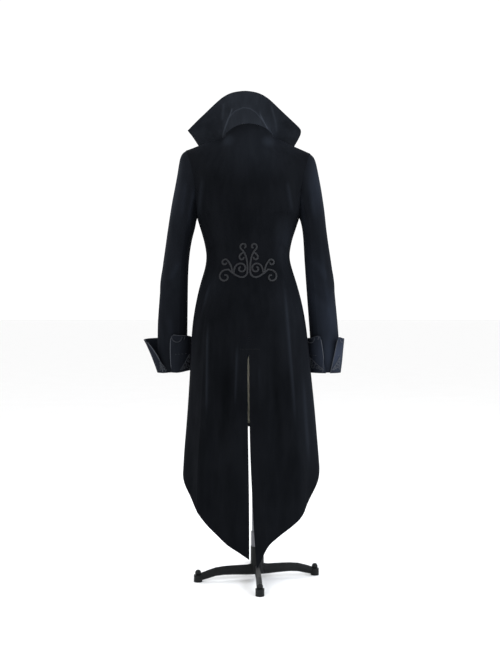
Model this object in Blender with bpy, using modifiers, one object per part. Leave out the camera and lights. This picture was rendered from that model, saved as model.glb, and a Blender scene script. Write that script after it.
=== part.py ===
"""Gothic velvet tailcoat standing on a limbless dress form.

The back of the coat faces -Y, +X is to the right of someone who looks at the back, +Z is up.
All sizes are in metres. Pattern pieces are thin walls worked out from short section tables.
"""

import math
from functools import lru_cache

import bmesh
import bpy
from mathutils import Vector

# Driving dimensions of the cloth
CLOTH = 0.0020
COLLAR_CLOTH = 0.0026
CUFF_CLOTH = 0.0028
SEAM_GAP = 0.00017
JOIN_GAP = 0.0003
MERGE_REACH = 1e-6
CLOTH_SHARP = 40.0
SOLID_SHARP = 60.0

# Heights of the coat's own landmarks
ARMPIT_Z = 1.083
VENT_TOP_Z = 0.687

# Rows of the grids
DROP_LEVELS = (
    (0.00, 0.03, 0.06, 0.09, 0.12, 0.15, 0.18, 0.215, 0.255, 0.30)
    + (0.36, 0.43, 0.50, 0.57, 0.64, 0.71, 0.78, 0.85, 0.925, 1.00)
)
YOKE_ROWS = 9
BACK_COLUMNS = 10
BODY_SIDE_COLUMNS = 6
FRONT_COLUMNS = 10
PRINCESS = 0.53
PRINCESS_ROW = 4
PRINCESS_BOW = 1.5

# Tip of the side body on the armhole: share of the last row, place across it, place of its normal
TIP_RISE = 0.86
TIP_ACROSS = 0.7
TIP_NORMAL_PLACE = 0.99

# Steps between the points that a normal is measured from, and its least upward part above the armpit
PLACE_STEP = 0.004
LEVEL_STEP = 0.006
NORMAL_TILT = 0.05
TURN_STEP = 1.0
SHARE_STEP = 0.005

# Body sections: half widths left and right of the centre seam, depth behind and before, roundness
BODY_COLUMNS = ("height", "left", "right", "back", "front", "power")
BODY_ROWS = (
    (1.083, 0.1545, 0.1505, 0.1180, 0.1220, 2.20),
    (1.048, 0.1440, 0.1390, 0.1120, 0.1190, 2.25),
    (1.018, 0.1350, 0.1290, 0.1040, 0.1110, 2.30),
    (0.967, 0.1263, 0.1206, 0.0890, 0.0940, 2.35),
    (0.940, 0.1290, 0.1260, 0.0920, 0.0940, 2.35),
    (0.886, 0.1452, 0.1431, 0.1080, 0.1000, 2.30),
    (0.814, 0.1614, 0.1623, 0.1270, 0.1060, 2.30),
    (0.742, 0.1715, 0.1740, 0.1370, 0.1100, 2.35),
    (0.670, 0.1740, 0.1810, 0.1430, 0.1120, 2.40),
    (0.598, 0.1773, 0.1895, 0.1470, 0.1130, 2.40),
    (0.490, 0.1833, 0.2000, 0.1520, 0.1150, 2.40),
    (0.418, 0.1893, 0.2058, 0.1550, 0.1160, 2.40),
    (0.350, 0.1945, 0.2120, 0.1580, 0.1170, 2.40),
    (0.060, 0.2000, 0.2160, 0.1700, 0.1200, 2.40),
)

# Hem height against the place round the body: 0 centre back, 1 side, 2 centre front
HEM_COLUMNS = ("place", "left", "right")
HEM_ROWS = (
    (0.00, 0.098, 0.074),
    (0.04, 0.107, 0.091),
    (0.08, 0.116, 0.114),
    (0.13, 0.127, 0.139),
    (0.20, 0.139, 0.153),
    (0.30, 0.161, 0.172),
    (0.40, 0.187, 0.194),
    (0.50, 0.219, 0.221),
    (0.60, 0.240, 0.251),
    (0.70, 0.268, 0.284),
    (0.80, 0.299, 0.321),
    (0.90, 0.334, 0.358),
    (1.00, 0.385, 0.405),
    (1.25, 0.560, 0.570),
    (1.50, 0.712, 0.712),
    (1.75, 0.788, 0.788),
    (2.00, 0.812, 0.812),
)

# Free edges of the two tails, measured from the centre seam, and how fast that fades to the side
VENT_FADE = 3
VENT_COLUMNS = ("height", "left", "right")
VENT_ROWS = (
    (0.687, 0.0000, 0.0000),
    (0.672, 0.0046, 0.0014),
    (0.600, 0.0040, 0.0016),
    (0.440, 0.0022, 0.0030),
    (0.340, 0.0004, 0.0062),
    (0.260, -0.0008, 0.0104),
    (0.190, -0.0012, 0.0135),
    (0.130, -0.0012, 0.0175),
    (0.074, -0.0010, 0.0235),
)

# Largest folds: place round the body, half width there, height where each starts, rise at the hem
FOLD_FULL_Z = 0.30
FOLD_COLUMNS = ("place", "spread", "start", "rise")
FOLD_ROWS = {
    "left": (
        (0.15, 0.055, 0.72, 0.0040),
        (0.31, 0.070, 0.80, -0.0065),
        (0.50, 0.065, 0.90, 0.0060),
        (0.66, 0.060, 0.80, -0.0060),
        (0.84, 0.070, 0.84, 0.0065),
        (1.06, 0.080, 0.78, -0.0060),
        (1.30, 0.090, 0.80, 0.0040),
    ),
    "right": (
        (0.10, 0.045, 0.62, 0.0030),
        (0.28, 0.070, 0.76, -0.0065),
        (0.47, 0.060, 0.90, 0.0065),
        (0.62, 0.055, 0.78, -0.0050),
        (0.79, 0.065, 0.80, 0.0075),
        (1.02, 0.080, 0.80, -0.0060),
        (1.28, 0.090, 0.80, 0.0045),
    ),
}

# Centre lines above the armpit, as a share of the way up
CENTRE_COLUMNS = ("share", "back", "front")
CENTRE_ROWS = (
    (0.00, -0.1180, 0.1220),
    (0.25, -0.1205, 0.1235),
    (0.45, -0.1175, 0.1230),
    (0.62, -0.1080, 0.1210),
    (0.80, -0.0895, 0.1180),
    (1.00, -0.0620, 0.1130),
)
NAPE_Z = 1.352
NAPE_BOW = 1.3
NECKLINE_Z = 1.170
NECKLINE_BOW = 2.5
NECKLINE_RISE = 1.15

# Neck point, where shoulder seam and neck seam meet, as a share of the columns
NECK_SHARE = 0.40
NECK_X = 0.072
NECK_Y = -0.012
NECK_Z = 1.321
SEAT_BULGE = 1.2
TOP_BULGE = 5.0

# Armholes: shoulder end of each side, half depth, and how far the middle is set in
SHOULDER_X = {"left": 0.188, "right": 0.183}
SHOULDER_Z = {"left": 1.289, "right": 1.275}
ARMHOLE_DEPTH = 0.058
ARMHOLE_INSET = 0.010
INSET_REACH = 0.2

# Sleeve sections: inner edge x and z, outer edge x and z, middle y, half depth
SLEEVE_COLUMNS = ("share", "in_x", "in_z", "out_x", "out_z", "middle", "depth")
SLEEVE_ROWS = {
    "left": (
        (0.00, 0.1545, 1.083, 0.1880, 1.289, 0.000, 0.058),
        (0.05, 0.1560, 1.079, 0.2000, 1.282, 0.000, 0.061),
        (0.12, 0.1575, 1.073, 0.2082, 1.244, 0.000, 0.064),
        (0.20, 0.1590, 1.064, 0.2180, 1.186, 0.000, 0.064),
        (0.28, 0.1610, 1.052, 0.2270, 1.141, -0.001, 0.061),
        (0.36, 0.1655, 1.036, 0.2340, 1.095, -0.002, 0.057),
        (0.44, 0.1720, 1.010, 0.2425, 1.045, -0.002, 0.053),
        (0.52, 0.1775, 0.976, 0.2500, 0.990, 0.000, 0.050),
        (0.60, 0.1815, 0.935, 0.2582, 0.940, 0.003, 0.048),
        (0.68, 0.1835, 0.886, 0.2652, 0.886, 0.010, 0.046),
        (0.76, 0.1845, 0.832, 0.2702, 0.832, 0.020, 0.045),
        (0.84, 0.1860, 0.778, 0.2757, 0.778, 0.032, 0.044),
        (0.90, 0.1872, 0.735, 0.2787, 0.735, 0.041, 0.044),
        (0.95, 0.1880, 0.680, 0.2785, 0.680, 0.049, 0.044),
        (1.00, 0.1885, 0.6195, 0.2770, 0.6195, 0.055, 0.044),
    ),
    "right": (
        (0.00, 0.1505, 1.083, 0.1830, 1.275, 0.000, 0.058),
        (0.05, 0.1525, 1.079, 0.1940, 1.271, 0.000, 0.061),
        (0.12, 0.1545, 1.073, 0.2025, 1.235, 0.000, 0.064),
        (0.20, 0.1570, 1.064, 0.2125, 1.184, 0.000, 0.064),
        (0.28, 0.1595, 1.052, 0.2195, 1.141, -0.001, 0.061),
        (0.36, 0.1615, 1.036, 0.2260, 1.095, -0.002, 0.057),
        (0.44, 0.1640, 1.010, 0.2320, 1.045, -0.002, 0.053),
        (0.52, 0.1658, 0.976, 0.2395, 0.990, 0.000, 0.050),
        (0.60, 0.1685, 0.935, 0.2485, 0.940, 0.003, 0.048),
        (0.68, 0.1725, 0.886, 0.2550, 0.886, 0.010, 0.046),
        (0.76, 0.1765, 0.832, 0.2615, 0.832, 0.020, 0.045),
        (0.84, 0.1815, 0.778, 0.2680, 0.778, 0.032, 0.044),
        (0.90, 0.1850, 0.735, 0.2730, 0.735, 0.041, 0.044),
        (0.95, 0.1890, 0.680, 0.2765, 0.680, 0.049, 0.044),
        (1.00, 0.1930, 0.6195, 0.2780, 0.6195, 0.055, 0.044),
    ),
}
SLEEVE_ROWS_COUNT = 14
ANGLE_STEP = 20
HALVINGS = 40
HIND_SEAM = -30
FORE_SEAM = 210

# Cuffs: flare of each edge of the band and the edges of the V split, in degrees from the back
CUFF_LOW_Z = 0.6175
CUFF_TOP_Z = 0.7215
CUFF_SLACK = 0.0008
CUFF_COLUMNS_COUNT = 22
CUFF_ROWS_COUNT = 3
CUFF_COLUMNS = ("rise", "outer_flare", "inner_flare", "face_flare", "split_out", "split_in")
CUFF_ROWS = {
    "left": (
        (0.0, 0.0000, 0.0000, 0.0000, 19.0, 8.0),
        (0.5, 0.0175, 0.0010, 0.0060, 44.0, 1.0),
        (1.0, 0.0390, 0.0020, 0.0120, 68.0, -7.0),
    ),
    "right": (
        (0.0, 0.0000, 0.0000, 0.0000, 14.0, 1.0),
        (0.5, 0.0080, 0.0010, 0.0060, 27.0, -11.0),
        (1.0, 0.0190, 0.0020, 0.0120, 38.0, -22.0),
    ),
}

# Collar: the crease where the wings fold out and the free edge, against the place along the neck
COLLAR_COLUMNS = ("place", "crease_x", "crease_y", "crease_z", "edge_x", "edge_y", "edge_z")
COLLAR_BACK_ROWS = (
    (0.00, 0.000, -0.0680, 1.4020, 0.0000, -0.0860, 1.4415),
    (0.12, 0.022, -0.0660, 1.3975, 0.0350, -0.0820, 1.4375),
    (0.24, 0.044, -0.0570, 1.3830, 0.0680, -0.0700, 1.4240),
    (0.34, 0.059, -0.0410, 1.3610, 0.1015, -0.0480, 1.3980),
    (0.44, 0.070, -0.0200, 1.3430, 0.1385, -0.0180, 1.3700),
    (0.54, 0.076, 0.0020, 1.3360, 0.1715, 0.0200, 1.3465),
)
COLLAR_FRONT_ROWS = (
    (0.54, 0.076, 0.0020, 1.3360, 0.1715, 0.0200, 1.3465),
    (0.66, 0.060, 0.0600, 1.2930, 0.1450, 0.0620, 1.3060),
    (0.78, 0.041, 0.0990, 1.2440, 0.1100, 0.1000, 1.2600),
    (0.88, 0.025, 0.1160, 1.2090, 0.0700, 0.1240, 1.2200),
    (0.97, 0.010, 0.1200, 1.1840, 0.0220, 0.1290, 1.1800),
)
COLLAR_TIP = 0.54
COLLAR_PLACES = (
    (0.0, 0.0625, 0.125, 0.1875, 0.25, 0.3125, 0.375, 0.4375, 0.50)
    + (COLLAR_TIP, 0.58, 0.625, 0.6875, 0.75, 0.8125, 0.875, 0.97)
)
COLLAR_STAND_ROWS = 2
COLLAR_WING_ROWS = 4
COLLAR_ARCH = 0.30
ARCH_PLACE = 0.30
CREASE_LEAN = -0.0080
EDGE_LEAN = -0.0122

# Scroll braid at the back waist
BRAID_WIDTH = 0.0056
BRAID_THICK = 0.0022
BRAID_LIFT = 0.00045
BRAID_SECTION = ((-1.0, 0.0), (-0.6, 1.0), (0.6, 1.0), (1.0, 0.0))
SCROLL_MIDDLE_Z = 0.9296

# Curls of one half of the motif, from the centre seam and the motif's middle; angles in degrees
CURL_COLUMNS = ("name", "x", "z", "radius", "last_radius", "angle", "last_angle", "ease", "spans")
CURL_ROWS = (
    ("crown", 0.0148, 0.0616, 0.0100, 0.0042, -50, 250, 1.2, 10),
    ("bowl", 0.0208, -0.0111, 0.0168, 0.0168, 180, 290, 1.0, 7),
    ("lower", 0.0680, -0.0266, 0.0240, 0.0045, 115, -290, 0.6, 16),
    ("volute", 0.0215, -0.0026, 0.0245, 0.0052, -28, 430, 0.5, 20),
    ("leaf", 0.0680, 0.0159, 0.0095, 0.0045, 115, -170, 1.0, 9),
    ("bud", 0.0190, 0.0304, 0.0090, 0.0042, 50, -190, 1.0, 8),
)

# Stems that lead into the curls, each with its start and the point that it bends towards
STEM_COLUMNS = ("name", "x", "z", "bend_x", "bend_z", "spans")
STEM_ROWS = (
    ("crown", 0.0040, -0.0111, 0.0026, 0.0384, 7),
    ("lower", 0.0265, -0.0269, 0.0405, -0.0215, 5),
    ("leaf", 0.0470, -0.0146, 0.0490, 0.0110, 4),
    ("bud", 0.0131, 0.0440, 0.0200, 0.0440, 3),
)

# Buttons of the front
BUTTON_RADIUS = 0.0100
BUTTON_HEIGHT = 0.0055
BUTTON_X = 0.0140
BUTTON_LIFT = 0.00066
BUTTON_SPANS = 12
BUTTON_HEIGHTS = (1.120, 1.062, 1.004, 0.946, 0.888)

# Turned outlines from the top down, as shares of the radius and the height
BUTTON_OUTLINE = ((0.0, 1.0), (0.55, 0.90), (0.90, 0.55), (1.0, 0.25), (0.86, 0.0), (0.0, 0.0))
CAP_OUTLINE = ((0.0, 1.0), (0.55, 0.92), (0.90, 0.62), (1.0, 0.30), (1.0, 0.0), (0.0, 0.0))

# Dress form: half widths, depth behind and before, and how soon the section leaves its widest place
FORM_COLUMNS = ("height", "left", "right", "back", "front", "bow")
FORM_ROWS = (
    (0.480, 0.1560, 0.1640, 0.1180, 0.0950, 0.92),
    (0.520, 0.1590, 0.1660, 0.1210, 0.0970, 0.92),
    (0.640, 0.1640, 0.1680, 0.1260, 0.1000, 0.92),
    (0.742, 0.1630, 0.1650, 0.1270, 0.1010, 0.92),
    (0.814, 0.1550, 0.1550, 0.1200, 0.0985, 0.92),
    (0.886, 0.1385, 0.1365, 0.1010, 0.0930, 0.92),
    (0.940, 0.1230, 0.1200, 0.0855, 0.0870, 0.92),
    (0.967, 0.1200, 0.1145, 0.0825, 0.0870, 0.92),
    (1.018, 0.1280, 0.1225, 0.0965, 0.1035, 0.94),
    (1.083, 0.1435, 0.1395, 0.1110, 0.1150, 0.97),
    (1.130, 0.1460, 0.1430, 0.1120, 0.1140, 1.05),
    (1.180, 0.1490, 0.1470, 0.1110, 0.1060, 1.15),
    (1.220, 0.1530, 0.1520, 0.1030, 0.0820, 1.35),
    (1.250, 0.1600, 0.1580, 0.0890, 0.0620, 1.80),
    (1.275, 0.1600, 0.1580, 0.0730, 0.0490, 2.30),
    (1.300, 0.1150, 0.1070, 0.0530, 0.0320, 2.50),
    (1.316, 0.0650, 0.0630, 0.0450, 0.0280, 2.10),
)
FORM_ROUND = 0.92
FORM_RING_HEIGHTS = (
    (0.480, 0.516, 0.580, 0.660, 0.730, 0.800, 0.860, 0.910, 0.950, 0.985)
    + (1.030, 1.075, 1.120, 1.165, 1.205, 1.235, 1.255, 1.270, 1.283, 1.295, 1.306, 1.314)
)
FORM_CLEARANCE = 0.0006
FORM_COLUMNS_COUNT = 24
FORM_NECK_RADIUS = 0.0500
FORM_NECK_HEIGHTS = (1.326, 1.345, 1.386)
CAP_RADIUS = 0.0490
CAP_HEIGHT = 0.0120
CAP_SPANS = 28
FORM_BASE_TRIMS = (0.0015, 0.0035)

# Stand
POLE_X = 0.0250
POLE_RADIUS = 0.0160
POLE_SPANS = 24
HUB_SPANS = 20
FOOT_SPANS = 14
BALL_SPANS = (10, 7)
FERRULE_RADIUS = 0.0190
FERRULE_LOW_Z = 0.0985
FERRULE_TOP_Z = 0.1420
HUB_RADIUS = 0.0200
HUB_TOP_Z = 0.0980
HUB_LOW_Z = 0.0160
FORM_BASE_THICK = 0.0080
LEG_TURNS = (12.0, 92.0, 192.0, 272.0)
LEG_REACH = 0.1800
FOOT_RADIUS = 0.0130
FOOT_HEIGHT = 0.0200
KNOB_RADIUS = 0.0095
KNOB_LIFT = 0.0060
LEG_SPANS = 7
LEG_SIDES = 8

# Leg sections: share of the reach, height of the middle, half width, half height
LEG_COLUMNS = ("share", "middle", "half_width", "half_height")
LEG_ROWS = (
    (0.04, 0.0290, 0.0120, 0.0180),
    (0.18, 0.0270, 0.0095, 0.0155),
    (0.40, 0.0284, 0.0088, 0.0145),
    (0.62, 0.0282, 0.0088, 0.0135),
    (0.82, 0.0205, 0.0088, 0.0130),
    (0.97, 0.0130, 0.0085, 0.0115),
)

SIGN = {"left": -1.0, "right": 1.0}
SIDES = ("left", "right")

VELVET = ((0.0070, 0.0072, 0.0085), 0.85, 0.0)
VELVET_CUFF = ((0.0120, 0.0125, 0.0150), 0.80, 0.0)
BRAID = ((0.050, 0.050, 0.055), 0.70, 0.0)
BUTTON = ((0.020, 0.020, 0.022), 0.35, 0.0)
LINEN = ((0.420, 0.380, 0.270), 0.85, 0.0)
DARK_TRIM = ((0.020, 0.020, 0.020), 0.60, 0.0)
STEEL = ((0.550, 0.550, 0.560), 0.35, 1.0)
CAST_IRON = ((0.025, 0.026, 0.028), 0.45, 0.3)


# Tables and curves


def cubic(places, values, at):
    """Read a smooth curve through the rows of a table that never overshoots them."""
    if at <= places[0]:
        return values[0]
    if at >= places[-1]:
        return values[-1]
    steps = [b - a for a, b in zip(places, places[1:])]
    rises = [(b - a) / s for a, b, s in zip(values, values[1:], steps)]
    slopes = [rises[0]]
    for before, after in zip(rises, rises[1:]):
        slopes.append(0.0 if before * after <= 0 else 2 * before * after / (before + after))
    slopes.append(rises[-1])
    row = max(i for i, place in enumerate(places[:-1]) if place <= at)
    t = (at - places[row]) / steps[row]
    low = values[row] * (1 + 2 * t) * (1 - t) ** 2 + slopes[row] * steps[row] * t * (1 - t) ** 2
    high = values[row + 1] * t * t * (3 - 2 * t) - slopes[row + 1] * steps[row] * t * t * (1 - t)
    return low + high


class Table:
    """A short table with named columns, read smoothly by its first column."""

    def __init__(self, columns, rows):
        ordered = sorted(rows)
        self.places = [row[0] for row in ordered]
        self.values = {name: [row[i] for row in ordered] for i, name in enumerate(columns)}

    def read(self, name, at):
        return cubic(self.places, self.values[name], at)


BODY = Table(BODY_COLUMNS, BODY_ROWS)
HEM = Table(HEM_COLUMNS, HEM_ROWS)
VENT = Table(VENT_COLUMNS, VENT_ROWS)
CENTRE = Table(CENTRE_COLUMNS, CENTRE_ROWS)
SLEEVE = {side: Table(SLEEVE_COLUMNS, SLEEVE_ROWS[side]) for side in SIDES}
CUFF = {side: Table(CUFF_COLUMNS, CUFF_ROWS[side]) for side in SIDES}
COLLAR_BACK = Table(COLLAR_COLUMNS, COLLAR_BACK_ROWS)
COLLAR_FRONT = Table(COLLAR_COLUMNS, COLLAR_FRONT_ROWS)
FORM = Table(FORM_COLUMNS, FORM_ROWS)
LEG = Table(LEG_COLUMNS, LEG_ROWS)


def named(columns, rows):
    """Rows of a table, each with the names of its columns."""
    return [dict(zip(columns, row)) for row in rows]


FOLDS = {side: named(FOLD_COLUMNS, FOLD_ROWS[side]) for side in SIDES}


def mix(a, b, share):
    """Go from a to b by a share."""
    return a + (b - a) * share


# Surface of the coat's body


def fold_rise(side, place, z):
    """Height of the folds above the plain surface at one place."""
    rise = 0.0
    for fold in FOLDS[side]:
        if z < fold["start"]:
            down = min(1.0, (fold["start"] - z) / (fold["start"] - FOLD_FULL_Z))
            swell = down * down * (3 - 2 * down)
            away = (place - fold["place"]) / fold["spread"]
            rise += fold["rise"] * swell * math.exp(-(away**2))
    return rise


@lru_cache(maxsize=None)
def ring_point(side, place, z):
    """Point of the coat below the armpit: place 0 centre back, 1 side, 2 centre front."""
    half = BODY.read(side, z)
    power = BODY.read("power", z)
    is_back = place <= 1.0
    depth = -BODY.read("back", z) if is_back else BODY.read("front", z)
    turn = place if is_back else 2.0 - place
    across = math.sin(turn * math.pi / 2)
    x = half * across
    y = depth * max(0.0, 1 - abs(across) ** power) ** (1 / power)
    rise = fold_rise(side, place, z)
    out = Vector((x / half, y / abs(depth), 0)).normalized()
    x += out.x * rise
    y += out.y * rise
    if is_back and z < VENT_TOP_Z:
        x += VENT.read(side, z) * max(0.0, 1 - max(0.0, place)) ** VENT_FADE
    return Vector((SIGN[side] * x, y, z))


def armhole_point(side, angle):
    """Point of the armhole: angle -90 at the armpit, 0 at the back, 90 at the shoulder."""
    turn = math.radians(angle)
    low = Vector((BODY.read(side, ARMPIT_Z), 0, ARMPIT_Z))
    high = Vector((SHOULDER_X[side], 0, SHOULDER_Z[side]))
    point = (low + high) / 2 + (high - low) / 2 * math.sin(turn)
    point.y = -ARMHOLE_DEPTH * math.cos(turn)
    point.x -= ARMHOLE_INSET * math.cos(turn) ** 2
    point.x *= SIGN[side]
    return point


def neck_point(side, part, share):
    """Point of the neck seam: share 0 at the centre, 1 at the neck point of the shoulder."""
    if part == "back":
        turn = share * math.pi / 2
        x = NECK_X * math.sin(turn)
        y = NECK_Y + (CENTRE.read("back", 1.0) - NECK_Y) * math.cos(turn)
        z = NECK_Z + (NAPE_Z - NECK_Z) * math.cos(turn) ** NAPE_BOW
    else:
        x = NECK_X * share
        y = mix(CENTRE.read("front", 1.0), NECK_Y, share**NECKLINE_BOW)
        z = mix(NECKLINE_Z, NECK_Z, share**NECKLINE_RISE)
    return Vector((SIGN[side] * x, y, z))


def top_point(side, part, place):
    """Point of the top edge of the body: neck seam, then shoulder seam."""
    if place <= NECK_SHARE:
        return neck_point(side, part, place / NECK_SHARE)
    share = (place - NECK_SHARE) / (1 - NECK_SHARE)
    start = neck_point(side, part, 1.0)
    end = Vector((SIGN[side] * SHOULDER_X[side], 0, SHOULDER_Z[side]))
    return start.lerp(end, share)


@lru_cache(maxsize=None)
def yoke_point(side, part, place, share):
    """Point of the body above the armpit: place 0 centre, 1 armhole; share 0 armpit, 1 top."""
    sign = SIGN[side]
    ring_place = place if part == "back" else 2 - place
    low = ring_point(side, ring_place, ARMPIT_Z)
    high = top_point(side, part, place)
    side_low = ring_point(side, 1.0, ARMPIT_Z)
    side_high = top_point(side, part, 1.0)
    angle = math.degrees(math.asin(max(-1.0, min(1.0, 2 * share - 1))))
    arm = armhole_point(side, angle if part == "back" else 180 - angle)
    across = mix(low.x, high.x, share) * sign
    arm_bend = arm.x * sign - mix(side_low.x, side_high.x, share) * sign
    x = across + place**3 * arm_bend
    low_bulge = low.y - mix(CENTRE.read(part, 0.0), side_low.y, place)
    high_bulge = high.y - mix(CENTRE.read(part, 1.0), side_high.y, place)
    y = mix(CENTRE.read(part, share), arm.y, place)
    y += low_bulge * (1 - share) ** SEAT_BULGE + high_bulge * share**TOP_BULGE
    return Vector((sign * x, y, mix(low.z, high.z, share)))


def body_point(side, part, place, level):
    """Point of the body: level above 0 goes up to the top edge, below 0 down to the hem."""
    if level > 0:
        return yoke_point(side, part, place, level)
    around = place if part == "back" else 2 - place
    drop = ARMPIT_Z - HEM.read(side, min(2.0, abs(around)))
    return ring_point(side, around, ARMPIT_Z + drop * level)


def body_normal(side, part, place, level):
    """Unit vector straight out of the body's surface."""
    left = place - PLACE_STEP
    right = place + PLACE_STEP
    if level > 0:
        left = max(0.0, left)
        right = min(1.0, right)
    low = level - LEVEL_STEP
    high = min(1.0, level + LEVEL_STEP)
    across = body_point(side, part, right, level) - body_point(side, part, left, level)
    up = body_point(side, part, place, high) - body_point(side, part, place, low)
    normal = across.cross(up).normalized()
    here = body_point(side, part, place, level)
    outward = Vector((here.x, here.y, NORMAL_TILT if level > 0 else 0.0))
    if place < PLACE_STEP:
        normal.x = 0.0
        normal.normalize()
    return normal if normal.dot(outward) > 0 else -normal


# Mesh helpers


def new_object(name, mesh_data, look, group):
    """Make an object in its collection, with its own material."""
    item = bpy.data.objects.new(name, mesh_data)
    group.objects.link(item)
    colour, roughness, metallic = look
    finish = bpy.data.materials.new(name)
    finish.use_nodes = True
    shader = finish.node_tree.nodes["Principled BSDF"]
    shader.inputs["Base Color"].default_value = (*colour, 1.0)
    shader.inputs["Roughness"].default_value = roughness
    shader.inputs["Metallic"].default_value = metallic
    mesh_data.materials.append(finish)
    return item


def finish_mesh(name, shape, look, group, sharp=CLOTH_SHARP):
    """Turn a bmesh into a smooth shaded object."""
    bmesh.ops.remove_doubles(shape, verts=shape.verts, dist=MERGE_REACH)
    bmesh.ops.recalc_face_normals(shape, faces=shape.faces)
    data = bpy.data.meshes.new(name)
    shape.to_mesh(data)
    shape.free()
    data.shade_smooth()
    data.set_sharp_from_angle(angle=math.radians(sharp))
    return new_object(name, data, look, group)


def grid_faces(shape, grid, closed):
    """Add the quads between the rows of a grid of vertices."""
    for lower, upper in zip(grid, grid[1:]):
        count = len(lower)
        for column in range(count if closed else count - 1):
            after = (column + 1) % count
            corners = (lower[column], lower[after], upper[after], upper[column])
            kept = [v for i, v in enumerate(corners) if v not in corners[:i]]
            if len(kept) > 2:
                shape.faces.new(kept)


def wall(name, outer, inner, look, group):
    """Make one closed thin wall from a grid of outer points and the inner points behind them."""
    shape = bmesh.new()
    merged = {}

    def vertex(point):
        key = tuple(round(value, 7) for value in point)
        if key not in merged:
            merged[key] = shape.verts.new(point)
        return merged[key]

    out_grid = [[vertex(p) for p in row] for row in outer]
    in_grid = [[vertex(p) for p in row] for row in inner]
    grid_faces(shape, out_grid, False)
    grid_faces(shape, in_grid, False)
    for end in (0, -1):
        grid_faces(shape, (out_grid[end], in_grid[end]), False)
        grid_faces(shape, ([r[end] for r in out_grid], [r[end] for r in in_grid]), False)
    return finish_mesh(name, shape, look, group)


def pull(point, towards, distance):
    """Move a point a small distance towards another."""
    step = towards - point
    return point + step * (distance / step.length) if step.length > distance else point.copy()


def pull_edges(row, first, last):
    """Draw the end points of a row in, to leave the seam gaps."""
    moved = list(row)
    if first:
        moved[0] = pull(row[0], row[1], first)
    if last:
        moved[-1] = pull(row[-1], row[-2], last)
    return moved


# Pattern pieces of the body


def hem_levels():
    """Levels from the armpit down to the hem, closest together at the waist."""
    return [-drop for drop in DROP_LEVELS]


def yoke_levels():
    """Levels from the armpit up to the top edge, close together at both ends."""
    turns = [math.pi * (row / YOKE_ROWS - 0.5) for row in range(YOKE_ROWS + 1)]
    return [(1 + math.sin(turn)) / 2 for turn in turns]


def princess_place(level):
    """Place of the princess seam, which bends out to the armhole above the armpit."""
    if level <= 0:
        return PRINCESS
    meeting = yoke_levels()[PRINCESS_ROW]
    return min(1.0, mix(PRINCESS, 1.0, (level / meeting) ** PRINCESS_BOW))


def shoulder_normal(side, place):
    """Direction shared by the back and front where they meet on the shoulder."""
    back = body_normal(side, "back", place, 1.0)
    front = body_normal(side, "front", place, 1.0)
    return (back + front).normalized()


def piece_rows(side, part, levels, places_at):
    """Outer and inner points of a piece, row by row, with no seam gaps yet."""
    outer = []
    inner = []
    for level in levels:
        points = []
        behind = []
        for place in places_at(level):
            point = body_point(side, part, place, level)
            normal = body_normal(side, part, place, level)
            on_shoulder = level >= 1.0 and place >= NECK_SHARE - 1e-6
            if on_shoulder:
                normal = shoulder_normal(side, place)
            if level > 0 and place >= 1.0 - 1e-9:
                point = point - Vector((SIGN[side] * JOIN_GAP, 0, 0))
            points.append(point)
            behind.append(point - normal * CLOTH)
        outer.append(points)
        inner.append(behind)
    return outer, inner


def spread(start, end, count):
    """Even places from start to end."""
    return [mix(start, end, i / count) for i in range(count + 1)]


def back_panel(side, group):
    """Back with its tail: centre seam to princess seam, and on to the armhole above it."""
    levels = hem_levels()[::-1] + yoke_levels()[1:]

    def places(level):
        return spread(0.0, princess_place(level), BACK_COLUMNS)

    outer, inner = piece_rows(side, "back", levels, places)
    for level, row, behind in zip(levels, outer, inner):
        meets_side_body = princess_place(level) < 1.0
        edge = SEAM_GAP if meets_side_body else 0.0
        row[:] = pull_edges(row, SEAM_GAP, edge)
        behind[:] = pull_edges(behind, SEAM_GAP, edge)
    lift_shoulder(side, "back", outer, inner)
    return wall(f"back_{side}", outer, inner, VELVET, group)


def lift_shoulder(side, part, outer, inner):
    """Part the back from the front along the shoulder seam."""
    away = Vector((0, -SEAM_GAP if part == "back" else SEAM_GAP, 0))
    first = round(NECK_SHARE * (len(outer[-1]) - 1))
    for rows in (outer, inner):
        for column in range(first, len(rows[-1])):
            rows[-1][column] = rows[-1][column] + away


def side_body_panel(side, group):
    """Side body: princess seam to side seam, ending in a point on the armhole."""
    meeting = yoke_levels()[PRINCESS_ROW]
    upper = yoke_levels()[1:PRINCESS_ROW]
    levels = hem_levels()[::-1] + upper

    def places(level):
        return spread(princess_place(level), 1.0, BODY_SIDE_COLUMNS)

    outer, inner = piece_rows(side, "back", levels, places)
    for level, row, behind in zip(levels, outer, inner):
        edge = SEAM_GAP if level <= 0 else 0.0
        row[:] = pull_edges(row, SEAM_GAP, edge)
        behind[:] = pull_edges(behind, SEAM_GAP, edge)
    tip_level = mix(upper[-1], meeting, TIP_RISE)
    tip = body_point(side, "back", mix(princess_place(tip_level), 1.0, TIP_ACROSS), tip_level)
    tip_normal = body_normal(side, "back", TIP_NORMAL_PLACE, tip_level)
    outer.append([tip] * (BODY_SIDE_COLUMNS + 1))
    inner.append([tip - tip_normal * CLOTH] * (BODY_SIDE_COLUMNS + 1))
    return wall(f"side_body_{side}", outer, inner, VELVET, group)


def front_panel(side, group):
    """Front: centre front to side seam, cut away from the waist to the side."""
    levels = hem_levels()[::-1] + yoke_levels()[1:]

    def places(level):
        return spread(0.0, 1.0, FRONT_COLUMNS)

    outer, inner = piece_rows(side, "front", levels, places)
    for level, row, behind in zip(levels, outer, inner):
        edge = SEAM_GAP if level <= 0 else 0.0
        row[:] = pull_edges(row, SEAM_GAP, edge)
        behind[:] = pull_edges(behind, SEAM_GAP, edge)
    lift_shoulder(side, "front", outer, inner)
    return wall(f"front_{side}", outer, inner, VELVET, group)


# Sleeves and cuffs


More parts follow.
